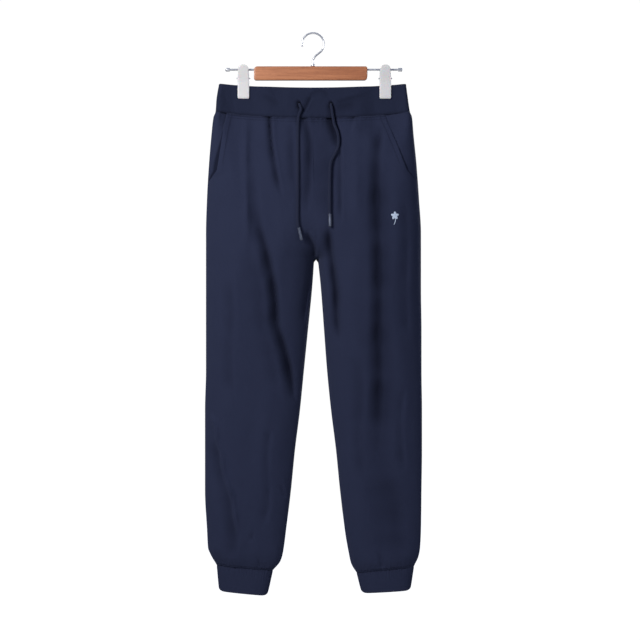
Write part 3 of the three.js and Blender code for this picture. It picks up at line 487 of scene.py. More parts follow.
rise = np.linspace(0, 1, 30)
bend = np.linspace(0, np.pi, 9)[1:-1]
crown = BAND_TOP_Z - BAND_CLOTH / 2
levels = np.concatenate([WAIST_Z + (crown - WAIST_Z) * rise, crown + BAND_CLOTH / 2 * np.sin(bend),
                         crown + (WAIST_Z - crown) * rise])
insets = np.concatenate([0 * rise, BAND_CLOTH / 2 * (1 - np.cos(bend)), BAND_CLOTH + 0 * rise])
x, y, z, painted_shade = band_ring(levels, insets)
points = np.stack([x, y, z], axis=-1)
grown = np.concatenate([points, points[:, :1]], axis=1)
grown = np.concatenate([grown, grown[:1]], axis=0)
round_way = np.linalg.norm(np.diff(grown[15], axis=0), axis=1)
u = np.concatenate([[0], np.cumsum(round_way)]) / 1000
v = np.concatenate([[0], np.cumsum(np.linalg.norm(np.diff(grown[:, 100], axis=0), axis=1))]) / 1000
uv = np.stack(np.broadcast_arrays(u[None], v[:, None]), axis=-1)
rib_finish = knit("navy_fine_rib", (31, 36, 55), 1.2, 1.5, 0.25, rib=0.65)
waistband = mesh_of("rib_waistband", patch(points, ring=True, wrap=True, uv=uv, crease=painted_shade))
dress(waistband, rib_finish, "rib_knit", "waistband")


def band_front(x, z):
    """The band's front face, at places x and levels z: its depth with the same pinch and rounding."""
    side = 1 if np.mean(x) > 0 else -1
    half = body_at(side, z)
    full = half["front"] + (CLIP_HALF_CLOTH - half["front"]) * pinch(x, z)
    return -full * quarter(abs(x - half["out"]), half["out_round"])


# Buttonholes: each an oval of close satin stitches round the place where the cord comes out, over a
# dark disc that is painted shadow inside the slit.
thread_finish, shader = finish_named("sewing_thread", Roughness=0.95, Specular_IOR_Level=0.1)
place = object_place(thread_finish)
ply = noise(thread_finish, place, 1600.0, 2.0)
wire_up(thread_finish, shader, blend(thread_finish, ply, linear(16, 19, 32), linear(31, 36, 55)), None, ply,
        0.05)
slit_finish, shader = finish_named("slit_in_shadow", Roughness=1.0)
place = object_place(slit_finish)
wire_up(slit_finish, shader, blend(slit_finish, noise(slit_finish, place, 700.0),
                                   linear(10, 12, 20), linear(20, 24, 36)))
for side_name, (hole_x, hole_level) in zip(SIDES, BUTTONHOLES):
    angle = np.linspace(0, 2 * np.pi, 241)[:-1]
    ring_x, ring_z = hole_x + 3.6 * np.cos(angle), hole_level + 5.4 * np.sin(angle)
    middle = np.stack([ring_x, band_front(ring_x, ring_z + HOLE_SAG) - 0.1, ring_z], axis=1)
    centre = np.array([hole_x, band_front(np.array([hole_x]), np.array([hole_level + HOLE_SAG]))[0],
                       hole_level])
    outward = (middle - centre) / np.linalg.norm(middle - centre, axis=1)[:, None]
    forward = np.array([0, -1.0, 0])
    ridge = 1 + 0.16 * np.cos(60 * angle)
    turn = np.arange(12)[None, :, None] * 2 * np.pi / 12
    spoke = 1.15 * np.cos(turn) * outward[:, None] - 0.75 * np.sin(turn) * forward
    ring = middle[:, None] + ridge[:, None, None] * spoke
    buttonhole = mesh_of(f"buttonhole_stitches_{side_name}", patch(ring, ring=True, wrap=True))
    dress(buttonhole, thread_finish, "rib_knit")
    # The disc inside each ring is painted shadow: a near-black sheet where the slit is only dark with shade.
    share = np.linspace(0.02, 1, 6)[:, None, None]
    floor_of = centre + share * (middle - centre)[None, ::6] * (1, 0, 1) + (0, -0.2, 0)
    slit = mesh_of(f"buttonhole_slit_shadow_{side_name}", patch(floor_of, ring=True, caps=True))
    dress(slit, slit_finish, "rib_knit")


# Leg panels: two fronts and two backs of brushed cotton fleece, joined at the outseams, inseams and rise.
# They hang hollow, and the clips' pinch, the gathered waist and the cloth's own weight draw them into long
# folds.
# Each pocket: its slant edge's points (level, x), the level of its foot, and in millimetres how far it
# gapes, how far the facing lies under it, how much the hem is raised, and how wide the shade in the gape is
POCKETS = {
    "left": {"edge": [(-156, -172), (-188, -178), (-225, -183), (-250, -186.5), (-275, -190.5)], "bottom": -300,
             "gape": 3.6, "under": 5.2, "hem": 0.2, "dark": 12},
    "right": {"edge": [(-156, 143), (-188, 155), (-225, 168.5), (-250, 177.5), (-275, 187)], "bottom": -300,
              "gape": 0.4, "under": 2.0, "hem": 0.1, "dark": 4},
}
HEM_WIDTH = 11
# Creases as seen from the front: half width, depth, sharpness, lean, fades at start and end, route
FRONT_CREASES = [
    (7.5, -5.2, 0, 0, 8, 90, [(-133, -165), (-134, -230), (-132, -300), (-130, -380), (-129, -450)]),
    (12, 3.4, 0.1, -0.1, 70, 60, [(-124, -245), (-119, -330), (-112, -385), (-99, -425)]),
    (7.5, 13, 0.75, -0.2, 110, 50, [(-114, -350), (-108, -390), (-97, -428), (-88, -466), (-81, -500),
                                    (-76, -540), (-74, -582), (-61, -622), (-51, -662), (-44, -702),
                                    (-38, -740)]),
    (26, 4, 0, 0, 60, 90, [(-112, -430), (-104, -500), (-92, -586), (-76, -660), (-62, -730)]),
    (5, 8.5, 0.75, 0.25, 4, 60, [(-88, -164), (-85, -207), (-76.8, -265), (-69.6, -303), (-60, -336)]),
    (9, 3, 0.2, 0.2, 20, 80, [(-46, -175), (-43, -260), (-38, -360)]),
    (7.5, 6, 0.2, 0, 2, 70, [(-21, -160), (-15, -184), (-9, -215), (-9, -260), (-11, -310), (-16, -368)]),
    (24, 3.6, 0, 0, 10, 70, [(16, -168), (17, -250), (16, -320), (14, -390)]),
    (6, 8.5, 0.6, 0.2, 20, 50, [(-15, -395), (-11, -408), (-4, -420), (0, -430), (0, -445), (-2.4, -461),
                                (-7.2, -497), (-14.4, -531), (-18, -560), (-22, -588)]),
    (7.5, 12, 0.65, -0.1, 30, 60, [(27, -386), (29, -401), (33, -442), (39, -483), (44, -526), (44, -564),
                                   (46, -588), (49, -624)]),
    (9, 7, 0.3, -0.2, 60, 200, [(138, -162), (131, -195), (125, -250), (124, -300), (124, -350),
                                (126, -420), (127, -470), (128, -540), (127, -600), (128, -650),
                                (129, -700), (127, -750), (127, -800), (124, -880)]),
    (28, 5, 0, 0, 90, 150, [(128, -230), (124, -350), (127, -470), (127, -600), (129, -700), (126, -880)]),
    (34, 4.5, 0, 0, 140, 60, [(126, -780), (132, -890), (148, -940), (152, -990), (156, -1062)]),
    (13, -4.4, 0, 0, 20, 70, [(84, -170), (86, -250), (87, -300), (86, -400)]),
    (5, 3, 0.6, 0.2, 3, 28, [(79, -163), (75, -187), (71, -212)]),
    (8, 12, 0.3, 0, 4, 26, [(34, -159), (38, -182), (44, -204), (50, -234)]),
    (4, 3.6, 0.7, 0.2, 20, 45, [(53, -226), (54, -310), (54, -388)]),
    (5, -6, 0.3, 0, 20, 40, [(-206, -758), (-192.6, -785), (-190, -812), (-182, -833), (-179.4, -860),
                             (-172.6, -892), (-162, -919), (-156, -951), (-154, -967), (-150, -1004)]),
    (12, 4.6, 0.1, 0, 45, 30, [(-202, -800), (-199, -812), (-188.6, -860), (-172.6, -919), (-164.6, -972),
                               (-162, -1012), (-164.6, -1050)]),
    (4, 1.6, 0.4, 0.2, 4, 6, [(-119, -992), (-124, -1012)]),
    (4, 2, 0.4, 0.2, 5, 8, [(-65, -900), (-55, -928)]),
    (5, 2.2, 0.4, 0.2, 8, 20, [(-104, -1066), (-108, -1052), (-116, -1036)]),
    (5, 2.2, 0.4, 0.2, 6, 22, [(138, -1066), (136, -1050), (128, -1030)]),
    (10, 2.4, 0.1, 0, 40, 40, [(178, -330), (182, -420), (180, -520), (184, -610)]),
    (12, 2.6, 0.1, 0.1, 50, 60, [(-172, -470), (-166, -560), (-170, -660), (-163, -740)]),
    (11, 2.6, 0.1, 0, 40, 60, [(84, -640), (90, -720), (86, -800), (96, -900)]),
    (9, 2, 0.2, 0.2, 30, 40, [(176, -700), (170, -790), (178, -880)]),
    (8, 2.2, 0.2, 0.1, 30, 40, [(-88, -780), (-94, -850), (-92, -930), (-104, -990)]),
]
# The hidden back gets like creases, as seen from behind with x still to the viewer's right from the front
BACK_CREASES = [
    (12, 5, 0.3, 0.2, 5, 70, [(-112, -162), (-100, -240), (-82, -330), (-70, -422)]),
    (7, 4, 0.6, 0.2, 4, 50, [(-60, -164), (-53, -230), (-46, -302)]),
    (7, 3, 0.6, 0.2, 4, 40, [(-14, -164), (-12, -205), (-16, -262)]),
    (8, 5, 0.6, -0.2, 4, 60, [(40, -164), (43, -240), (54, -332)]),
    (12, 6, 0.3, -0.2, 5, 80, [(92, -163), (97, -260), (104, -370), (112, -480)]),
    (7, 3, 0.5, 0.2, 4, 30, [(150, -162), (153, -210), (156, -262)]),
    (10, -4, 0, 0, 10, 90, [(-140, -168), (-141, -260), (-138, -380)]),
    (11, -4, 0, 0, 10, 90, [(144, -168), (146, -260), (142, -390)]),
    (15, 6.5, 0.3, -0.2, 70, 90, [(-104, -468), (-108, -560), (-112, -690), (-120, -800), (-128, -904)]),
    (16, 6.5, 0.3, 0.2, 70, 90, [(118, -448), (120, -560), (122, -700), (128, -830), (134, -960)]),
    (10, 6, 0.5, 0.2, 30, 50, [(-30, -440), (-36, -500), (-44, -570), (-52, -642)]),
    (9, 4, 0.5, -0.2, 30, 50, [(32, -440), (36, -500), (40, -560), (44, -622)]),
    (9, 1.8, 0.3, 0.2, 20, 30, [(-160, -640), (-120, -668), (-84, -682)]),
    (9, 1.8, 0.3, 0.2, 20, 30, [(172, -652), (140, -678), (96, -690)]),
    (9, 3.4, 0.2, 0, 30, 40, [(-150, -880), (-158, -960), (-150, -1040)]),
    (9, 3.4, 0.2, 0, 30, 40, [(160, -900), (150, -980), (158, -1048)]),
]


def slant(side_name, z):
    """The pocket edge's x at level z: straight from point to point of its table, and on to the side seam."""
    pocket = POCKETS[side_name]
    foot = body_at(SIDES[side_name], np.array([float(pocket["bottom"])]))["out"][0]
    table = np.array([*pocket["edge"], (pocket["bottom"], foot)], float)[::-1]
    return np.interp(z, table[:, 0], table[:, 1])


def pocket_share(pocket, z):
    """How far level z is down a pocket, from 0 at the waist seam to 1 at its foot."""
    return np.clip((WAIST_Z - z) / (WAIST_Z - pocket["bottom"]), 0, 1)


def gape(pocket, z, into):
    """How far the hem stands off: a half sine that peaks low down, fading with the distance from the
    edge."""
    return pocket["gape"] * np.sin(np.pi * pocket_share(pocket, z) ** 2.2) * np.exp(-((into / 14) ** 2))


def leg_cloth(side_name, face_name, x, z, under=0.0):
    """How far the cloth stands from the middle plane at places x and levels z, and how much painted
    shade it takes at the bottoms of creases and in seam grooves. The section's full depth is rounded off
    by a quarter ellipse at the outer edge, and at the inner edge by the distance from it or, above, from
    the fork. Creases, seam grooves, puckers and a slight unevenness are taken from it, and under is how
    far it lies below."""
    side = SIDES[side_name]
    half = body_at(side, z)
    out, inner = half["out"], half["inner"]
    pinched = pinch(x, z)
    full = half[face_name] + (CLIP_HALF_CLOTH - half[face_name]) * pinched
    above = np.clip(z - CROTCH_Z, 0, None)
    meets = np.interp(z, [-472, CROTCH_Z, -400], [1, 2.6, 5] if side < 0 else [12, 9.9, 5])
    meets = np.where((z > -472) & (z < -400), meets, inner)
    from_fork = np.hypot(np.clip(side * (x - meets), 0, None), above * half["in_round"] / RISE_ROUND)
    shape = quarter(abs(x - out), half["out_round"]) * quarter(from_fork, half["in_round"])
    height = hang(side, x, z)
    table = FRONT_CREASES if face_name == "front" else BACK_CREASES
    hold = smooth(abs(x - out) / 12) * smooth(from_fork / 12) * (1 - pinched)
    push = creases(x, height, table) * hold
    seed = 2.3 * side + 1.1 * FACES[face_name]
    uneven = (0.7 * np.sin(x / 13 + 1.6 * np.sin(z / 71 + seed)) * np.sin(z / 94 + 0.7 * seed)
              + 0.35 * np.sin(x / 6.1 + z / 160 + 2 * np.sin(z / 49)))
    small = pucker(x + 31 * FACES[face_name], seed) * np.exp(-(WAIST_Z - z) / 9)
    small = small + pucker(1.3 * x, seed + 1) * 1.3 * np.exp(-(z - CUFF_Z) / 10)
    tight = sum(np.exp(-(((x - at) / 9) ** 2)) for at in (-147, -95, 78, 147))
    groove = np.exp(-(((z - WAIST_Z) / 2.6) ** 2)) * (1 + 0.5 * pinched + tight * (face_name == "front"))
    groove = groove + 0.25 * np.exp(-(((z - CUFF_Z) / 2.4) ** 2))
    rise = 0.1 * np.exp(-((abs(inner - x) / 1.3) ** 2))
    depth = full * shape - push - (uneven + 0.8 * small) * hold - (groove + rise) * np.minimum(shape * 4, 1)
    # The second value is painted shade: darker at the bottoms of creases and along the seam grooves.
    return np.maximum(depth - under, 0.0), np.clip((push - 0.6) / CREASE_FULL + 0.35 * groove, 0, 1)


def lengths(points):
    """Distance in metres across the cloth from its last column, and down it from its first row at the
    middle."""
    across = np.linalg.norm(np.diff(points, axis=1), axis=2)
    across = np.concatenate([np.zeros((len(points), 1)), np.cumsum(across, axis=1)], axis=1)
    across = across - across[:, -1:]
    down = np.linalg.norm(np.diff(points[:, points.shape[1] // 2], axis=0), axis=1)
    down = np.concatenate([[0], np.cumsum(down)])[:, None] + 0 * across
    return np.stack([across, down], axis=-1) / 1000


def thicken(piece, thickness):
    """Gives the cloth its thickness, inwards."""
    wall = piece.modifiers.new("wall", "SOLIDIFY")
    wall.thickness, wall.offset = thickness / 1000, -1
    return piece


fork = CROTCH_Z + RISE_ROUND * (1 - np.cos(np.linspace(np.pi / 2, 0, 34)))
PANEL_LEVELS = np.concatenate([
    np.linspace(WAIST_Z, -200, 20)[:-1], np.linspace(-200, fork[0], 56)[:-1], fork,
    np.linspace(CROTCH_Z, -472, 12)[1:], np.linspace(-472, -1010, 166)[1:], np.linspace(-1010, CUFF_Z, 26)[1:]])
jersey_finish = knit("navy_brushed_fleece", (39, 44, 65), 1.3, 1.1, 0.2)
for side_name, side in SIDES.items():
    for face_name, face in FACES.items():
        z = PANEL_LEVELS[:, None]
        half = body_at(side, PANEL_LEVELS)
        start = half["out"]
        pocketed = face_name == "front"
        if pocketed:
            start = np.where(PANEL_LEVELS > POCKETS[side_name]["bottom"], slant(side_name, PANEL_LEVELS), start)
        s = np.linspace(0, 1, 109)[None]
        x = start[:, None] + (half["inner"] - start)[:, None] * (1 - np.cos(np.pi * s)) / 2
        z = z + 0 * x
        depth, painted_shade = leg_cloth(side_name, face_name, x, z)
        if pocketed:
            pocket = POCKETS[side_name]
            into = abs(x - start[:, None])
            there = smooth((z - pocket["bottom"] - 9) / 14)
            hem = pocket["hem"] * (1 - smooth((into - HEM_WIDTH + 1) / 2)) - 0.5 * np.exp(-((into / 1.1) ** 2))
            depth = depth + there * (gape(pocket, z, into) + hem)
            # Painted shade along the step where the raised hem ends, fading down the pocket.
            hem_line_shade = 0.3 * (1 - pocket_share(pocket, z)) * np.exp(-(((into - HEM_WIDTH) / 1.2) ** 2))
            painted_shade = np.maximum(painted_shade, there * hem_line_shade)
        points = np.stack([x, face * depth, hang(side, x, z)], axis=-1)
        uv = lengths(points)
        if side * face > 0:
            points, uv, painted_shade = points[:, ::-1], uv[:, ::-1], painted_shade[:, ::-1]
        panel = mesh_of(f"fleece_{face_name}_{side_name}", patch(points, uv=uv, crease=painted_shade), sharp=80)
        thicken(panel, 1.8)
        dress(panel, jersey_finish, "jersey", f"{face_name}_panel_{side_name}")


# Pocket facings: the side piece of the same fleece that fills each slant pocket's opening. It is sewn in
# with the side seam, drops under the front panel's hem, and runs on behind it.
for side_name, side in SIDES.items():
    pocket = POCKETS[side_name]
    level = np.concatenate([np.linspace(WAIST_Z, pocket["bottom"] + 1, 60),
                            np.linspace(pocket["bottom"], pocket["bottom"] - 10, 5)])
    out = body_at(side, level)["out"]
    opening = np.where(level > pocket["bottom"], abs(slant(side_name, level) - out), 0)[:, None]
    reach = opening + 14
    across = np.linspace(0, 1, 30)[None] ** 1.5 * reach
    down = pocket["under"] * smooth(across / np.maximum(opening, 1) / 0.7)
    x = out[:, None] - side * (down + across * (1 - down / reach))
    z = level[:, None] + 0 * x
    depth, painted_shade = leg_cloth(side_name, "front", x, z)
    depth = np.maximum(depth - down, 0.1)
    points = np.stack([x, -depth, hang(side, x, z)], axis=-1)
    wide = pocket["dark"] * np.sin(np.pi * pocket_share(pocket, z) ** 2.4)
    shadow = smooth((abs(x - out[:, None]) - opening + wide) / (0.3 + 0.5 * wide)) * smooth(wide)
    uv = lengths(points)
    if side < 0:
        points, uv, shadow = points[:, ::-1], uv[:, ::-1], shadow[:, ::-1]
    facing = thicken(mesh_of(f"pocket_side_{side_name}", patch(points, uv=uv, crease=shadow), sharp=80), 1.6)
    dress(facing, jersey_finish, "jersey", f"pocket_facing_{side_name}")


# Cuffs: short tubes of the same rib as the waistband, folded in two at the hem. The leg is gathered into
# each, so the cloth is puckered along the seam, and the ribs run up and down.
CUFFS = {"left": {"hem_slope": 0.1, "hem_z": -1117, "hem_out": -188, "hem_in": -91},
         "right": {"hem_slope": -0.06, "hem_z": -1114, "hem_out": 195, "hem_in": 97}}
HEM_DEPTH, CUFF_CLOTH, CUFF_RIBS, CUFF_HIGH = 12, 2.5, 116, 50
cuff_finish = knit("navy_cuff_rib", (39, 44, 65), 1.2, 1.5, 0.25, rib=0.65)
for side_name, cuff in CUFFS.items():
    side = SIDES[side_name]
    top = {key: value[0] for key, value in body_at(side, np.array([float(CUFF_Z)])).items()}
    run, bend = np.linspace(0, 1, 18), np.linspace(0, np.pi, 9)[1:-1]
    share = np.concatenate([run, 1 + 0.03 * np.sin(bend), run[::-1]])[:, None]
    inset = np.concatenate([0 * run, CUFF_CLOTH / 2 * (1 - np.cos(bend)), CUFF_CLOTH + 0 * run])[:, None]
    angle = -np.arange(CUFF_RIBS * 4)[None] * 2 * np.pi / (CUFF_RIBS * 4)
    out = top["out"] + (cuff["hem_out"] - top["out"]) * share - side * inset
    inner = top["inner"] + (cuff["hem_in"] - top["inner"]) * share + side * inset
    middle, wide = (out + inner) / 2, abs(out - inner) / 2
    rib = 0.22 * np.cos(CUFF_RIBS * angle) * np.where(inset < 1, 1, 0)
    drawn = -0.9 * pucker(140 * np.cos(angle) + 60 * np.sign(np.sin(angle)), side)
    drawn = drawn * np.exp(-share * 5) * np.where(inset < 1, 1, 0)
    tuck = -0.6 * np.exp(-((share * CUFF_HIGH / 2.0) ** 2)) * np.where(inset < 1, 1, 0)
    depth = top["front"] + (HEM_DEPTH - top["front"]) * share - inset + rib + drawn + tuck
    x = middle + (wide + rib + tuck) * np.cos(angle)
    y = depth * np.sin(angle)
    seam_drop, seam_slope = CUFF_TILT[side]
    drop = CUFF_Z - seam_drop + (cuff["hem_z"] - CUFF_Z + seam_drop) * share
    z = drop - (seam_slope + (cuff["hem_slope"] - seam_slope) * share) * (x - middle)
    z = z + 4 * share**8 * abs(np.cos(angle)) ** 16
    points = np.stack([x, y, z], axis=-1)
    around = np.concatenate([[0], np.cumsum(np.full(CUFF_RIBS * 4, 0.6))])[None] / 1000
    v = (np.concatenate([share[:, 0], share[:1, 0]]) * CUFF_HIGH / 1000)[:, None]
    uv = np.stack(np.broadcast_arrays(around, v), axis=-1)
    # Painted shade: darker in the hollows between ribs and along the cuff's seam.
    painted_shade = np.clip(0.1 - rib / 2.2 + 0.3 * np.exp(-((share * CUFF_HIGH / 2.0) ** 2)), 0, 1)
    piece = mesh_of(f"rib_cuff_{side_name}", patch(points, ring=True, wrap=True, uv=uv, crease=painted_shade), sharp=80)
    dress(piece, cuff_finish, "rib_knit", f"cuff_{side_name}")


# Stitching: twin rows under the waist seam's edge, one row along each pocket's hem and one round each
# cuff's seam, in matching cotton thread. Each stitch is a short thread lying on the cloth, rounded at both
# ends.
def stitches(path, pitch, length, radius):
    """A row of stitches along a path on the cloth. Each is six rings of seven points, thin at the ends,
    lying in the path's direction and sunk at both ends."""
    total = np.linalg.norm(np.diff(path, axis=0), axis=1).sum()
    count = max(int(total / pitch), 2)
    fine = evenly(path, 2 * count + 1)
    centre, along = fine[1::2], fine[2::2] - fine[:-1:2]
    along /= np.linalg.norm(along, axis=1)[:, None]
    front = np.array([0, -1.0, 0]) - along * (along @ np.array([0, -1.0, 0]))[:, None]
    front *= np.sign(-centre[:, 1] + 1e-6)[:, None]
    front /= np.linalg.norm(front, axis=1)[:, None]
    h = np.array([-0.5, -0.42, -0.2, 0.2, 0.42, 0.5])
    thick = np.array([0.35, 0.8, 1, 1, 0.8, 0.35]) * radius
    lift = (np.array([-0.6, 0, 0.5, 0.5, 0, -0.6]) * radius)[None, :, None, None]
    turn = np.arange(7) * 2 * np.pi / 7
    ring = (np.cos(turn)[None, None, :, None] * front[:, None, None]
            + np.sin(turn)[None, None, :, None] * np.cross(along, front)[:, None, None])
    points = (centre[:, None, None] + h[None, :, None, None] * length * along[:, None, None]
              + lift * front[:, None, None] + thick[None, :, None, None] * ring)
    cell = patch(np.zeros((6, 7, 3)), ring=True, caps=True)["faces"]
    faces = [[i + 42 * k for i in face] for k in range(count) for face in cell]
    return {"points": points.reshape(-1, 3), "faces": faces, "loops": np.zeros((sum(map(len, faces)), 2)),
            "values": {}}


def on_leg(side_name, face_name, x, z, proud=0.15):
    """Points on a leg panel's outside, a little proud of the cloth."""
    depth, _ = leg_cloth(side_name, face_name, x, z)
    return np.stack([x, FACES[face_name] * (depth + proud), hang(SIDES[side_name], x, z)], axis=-1)


rows = []
for side_name, side in SIDES.items():
    for face_name in FACES:
        for below in (3.2, 8.0):
            z = np.full(240, WAIST_Z - below)
            half = body_at(side, z)
            edge = slant(side_name, z) if face_name == "front" else half["out"]
            x = edge - side * 1.5 + (half["inner"] - edge) * np.linspace(0, 1, 240)
            rows.append(stitches(on_leg(side_name, face_name, x, z), 3.3, 2.6, 0.33))
stitching = mesh_of("waist_topstitching", *rows, sharp=80)
dress(stitching, thread_finish, "jersey")
rows = []
for side_name, side in SIDES.items():
    pocket, into = POCKETS[side_name], HEM_WIDTH - 1.5
    z = np.linspace(WAIST_Z - 1, pocket["bottom"] + 40, 160)
    x = slant(side_name, z) - side * into
    raised = gape(pocket, z, into) + pocket["hem"]
    rows.append(stitches(on_leg(side_name, "front", x, z, raised + 0.1), 3.0, 2.4, 0.32))
stitching = mesh_of("pocket_topstitching", *rows, sharp=80)
dress(stitching, thread_finish, "jersey")
rows = []
for side_name, side in SIDES.items():
    for face_name in FACES:
        z = np.full(200, CUFF_Z + 4.0)
        half = body_at(side, z)
        x = half["out"] + (half["inner"] - half["out"]) * (1 - np.cos(np.pi * np.linspace(0.04, 0.96, 200))) / 2
        rows.append(stitches(on_leg(side_name, face_name, x, z), 3.2, 2.5, 0.32))
stitching = mesh_of("cuff_topstitching", *rows, sharp=80)
dress(stitching, thread_finish, "jersey")


# Embroidered flower: a small plain five-petalled flower on a stem, in pale thread, worked on the thigh.
FLOWER_X, FLOWER_Z = 162, -366
pale_finish, shader = finish_named("pale_embroidery_thread", Roughness=0.5, Sheen_Weight=0.1)
place = object_place(pale_finish)
strand = add(pale_finish, "TexWave", {"Vector": place, "Scale": 420.0, "Distortion": 1.2, "Detail": 2.0},
             bands_direction="DIAGONAL").outputs[1]
wire_up(pale_finish, shader, blend(pale_finish, strand, linear(150, 165, 186), linear(206, 217, 230)), None,
        strand, 0.12)
patches = []
for turn, (long, wide) in [(np.radians(a), (4.1, 2.5)) for a in (90, 162, 234, 306, 18)] + [(None, (1.5, 1.5))]:
    centre = (0, 0) if turn is None else (4.0 * np.cos(turn), 4.0 * np.sin(turn))
    angle, share = np.arange(28)[None] * 2 * np.pi / 28, np.linspace(0.05, 1, 8)[:, None]
    a, b = long * share * np.cos(angle), wide * share * np.sin(angle)
    tilt = turn or 0
    x = FLOWER_X + centre[0] + a * np.cos(tilt) - b * np.sin(tilt)
    z = FLOWER_Z + centre[1] + a * np.sin(tilt) + b * np.cos(tilt)
    base = on_leg("right", "front", x, z)
    base[..., 1] -= 0.65 * np.sqrt(1.02 - share**2) * np.ones_like(angle) + (0.35 if turn is None else 0)
    patches.append(patch(base[:, ::-1], ring=True, caps=True))
stem = np.stack([FLOWER_X + np.array([0.2, 0.8, 0.6, -0.6, -2]), FLOWER_Z + np.array([-3, -7, -11, -15, -18])],
                axis=1)
stem = smooth_path(stem, 40)
patches.append(patch(tube(on_leg("right", "front", stem[:, 0], stem[:, 1]), 0.62, 10), ring=True, caps=True))
flower = mesh_of("embroidered_flower", *patches, sharp=80)
dress(flower, pale_finish, "jersey")


# Hanger bar: a flat piece of varnished beech with rounded corners and edges, drilled for the rod at both
# ends.
BAR = {"left": -118, "right": 109, "top": -65, "bottom": -93, "half": 6}
wood_finish, shader = finish_named("varnished_beech", Roughness=0.38, Coat_Weight=0.25, Coat_Roughness=0.18)
place = object_place(wood_finish)
grain_way = add(wood_finish, "Mapping", {0: place, "Scale": (5.0, 60.0, 150.0)}).outputs[0]
grain = noise(wood_finish, grain_way, 2.2, 6.0, Roughness=0.6, Distortion=0.5)
pore_way = add(wood_finish, "Mapping", {0: place, "Scale": (40.0, 500.0, 700.0)}).outputs[0]
pore = noise(wood_finish, pore_way, 1.6, 3.0)
figure_way = add(wood_finish, "Mapping", {0: place, "Scale": (1.6, 6.0, 16.0)}).outputs[0]
figure = noise(wood_finish, figure_way, 2.4, 3.0)
ramp = add(wood_finish, "ValToRGB", {0: grain})
ramp.color_ramp.elements[0].position, ramp.color_ramp.elements[0].color = 0.3, linear(132, 74, 42)
ramp.color_ramp.elements[1].position, ramp.color_ramp.elements[1].color = 0.72, linear(214, 146, 102)
tone = blend(wood_finish, figure, linear(146, 86, 52), linear(214, 146, 104))
tone = blend(wood_finish, 0.5, ramp.outputs[0], tone)
tone = blend(wood_finish, calc(wood_finish, "MULTIPLY", calc(wood_finish, "GREATER_THAN", pore, 0.62), 0.35),
             tone, linear(104, 60, 42))
# The bar darkens towards its right end: painted shade where the key light from the left falls off.
way_along = add(wood_finish, "SeparateXYZ", {0: place}).outputs[0]
shade_to_right = calc(wood_finish, "MULTIPLY", calc(wood_finish, "ADD", way_along, 0.1), 3.2)
tone = blend(wood_finish, shade_to_right, tone, blend(wood_finish, 1.0, tone, (0.74, 0.62, 0.5, 1), "MULTIPLY"))
wire_up(wood_finish, shader, tone, None, calc(wood_finish, "ADD", grain, pore), 0.12)


def loft(places, half_a, half_b, power, axis, centre, count=64):
    """Rings along an axis. Each is a rounded oblong: its half sizes times the cosine and the sine of an
    angle, both raised to two over a power, so that a higher power has squarer corners."""
    angle = np.arange(count)[None] * 2 * np.pi / count
    bent = lambda v: np.sign(v) * abs(v) ** (2 / power)
    a = np.asarray(half_a, float)[:, None] * bent(np.cos(angle))
    b = np.asarray(half_b, float)[:, None] * bent(np.sin(angle))
    along = np.asarray(places, float)[:, None] + 0 * a
    ca, cb = (np.asarray(c, float) + np.zeros(len(places)) for c in centre)
    if axis == "x":
        return np.stack([along, ca[:, None] + a, cb[:, None] + b], axis=-1)
    return np.stack([ca[:, None] + a, cb[:, None] + b, along], axis=-1)


def ends(first, last, radius, count):
    """Places from first to last, close together where the ends round off."""
    near = radius * (1 - np.cos(np.linspace(0, np.pi / 2, count)))
    sign = np.sign(last - first)
    return np.concatenate([first + sign * near, last - sign * near[::-1]])


def rounded(distance, size, radius):
    """A half size that shrinks by a quarter circle within its radius of an end."""
    d = np.clip(distance, 0, radius)
    return size - radius + np.sqrt(radius**2 - (radius - d) ** 2)


x = np.concatenate([ends(BAR["left"], -20, 7, 12)[:-12], np.linspace(-108, 99, 40),
                    ends(20, BAR["right"], 7, 12)[12:]])
left, right = x - BAR["left"], BAR["right"] - x
over = np.minimum(rounded(left, 14, 7), rounded(right, 14, 4.5))
below = np.minimum(rounded(left, 14, 4.5), rounded(right, 14, 7))
thin = np.minimum(rounded(left, BAR["half"], 2.5), rounded(right, BAR["half"], 2.5))
middle = (BAR["top"] + BAR["bottom"]) / 2
shape = loft(x, thin, (over + below) / 2, 7, "x", (0, middle + (over - below) / 2), 72)
bar = mesh_of("wooden_bar", patch(shape, ring=True, caps=True), sharp=60)
dress(bar, wood_finish, "wood", "hanger_bar")


# Wire hook, collar, rod and its end caps: bright steel wire bent as a question mark, screwed into the bar
# through a turned collar, and a plain steel rod along which the clips slide, closed by a domed cap at each
# end.
steel_finish, shader = finish_named("bright_steel", Metallic=0.6)
place = object_place(steel_finish)
rub = noise(steel_finish, place, 340.0, 4.0)
haze = noise(steel_finish, place, 60.0, 2.0)
wire_up(steel_finish, shader, blend(steel_finish, haze, linear(190, 191, 194), linear(228, 229, 230)),
        calc(steel_finish, "MULTIPLY", calc(steel_finish, "ADD", rub, 0.35), 0.3), rub, 0.01)
WIRE, HOOK_INSIDE = 1.9, 20
angle = np.radians(np.arange(195, -59, -11.5))
arc = np.stack([(HOOK_INSIDE + WIRE) * np.cos(angle), 0 * angle,
                -HOOK_INSIDE + (HOOK_INSIDE + WIRE) * np.sin(angle)], axis=1)
hook_path = smooth_path([*arc.tolist(), [3.2, 0, -46.5], [0.2, 0, -52], [0, 0, -57], [0, 0, -61]], 190)
thick = rounded(np.linspace(0, 171, 190), WIRE, WIRE * 0.98)
hook = mesh_of("wire_hook", patch(tube(hook_path, thick, 24, across=(0, 1, 0)), ring=True, caps=True))
dress(hook, steel_finish, "steel", "hanger_hook")
collar_profile = [(0, 4.0), (0.2, 4.4), (1.2, 4.4), (1.5, 4.0), (2.4, 3.6), (3.4, 3.5), (3.7, 3.9), (4.7, 3.9),
                  (5, 3.5), (5.05, 2.1)]
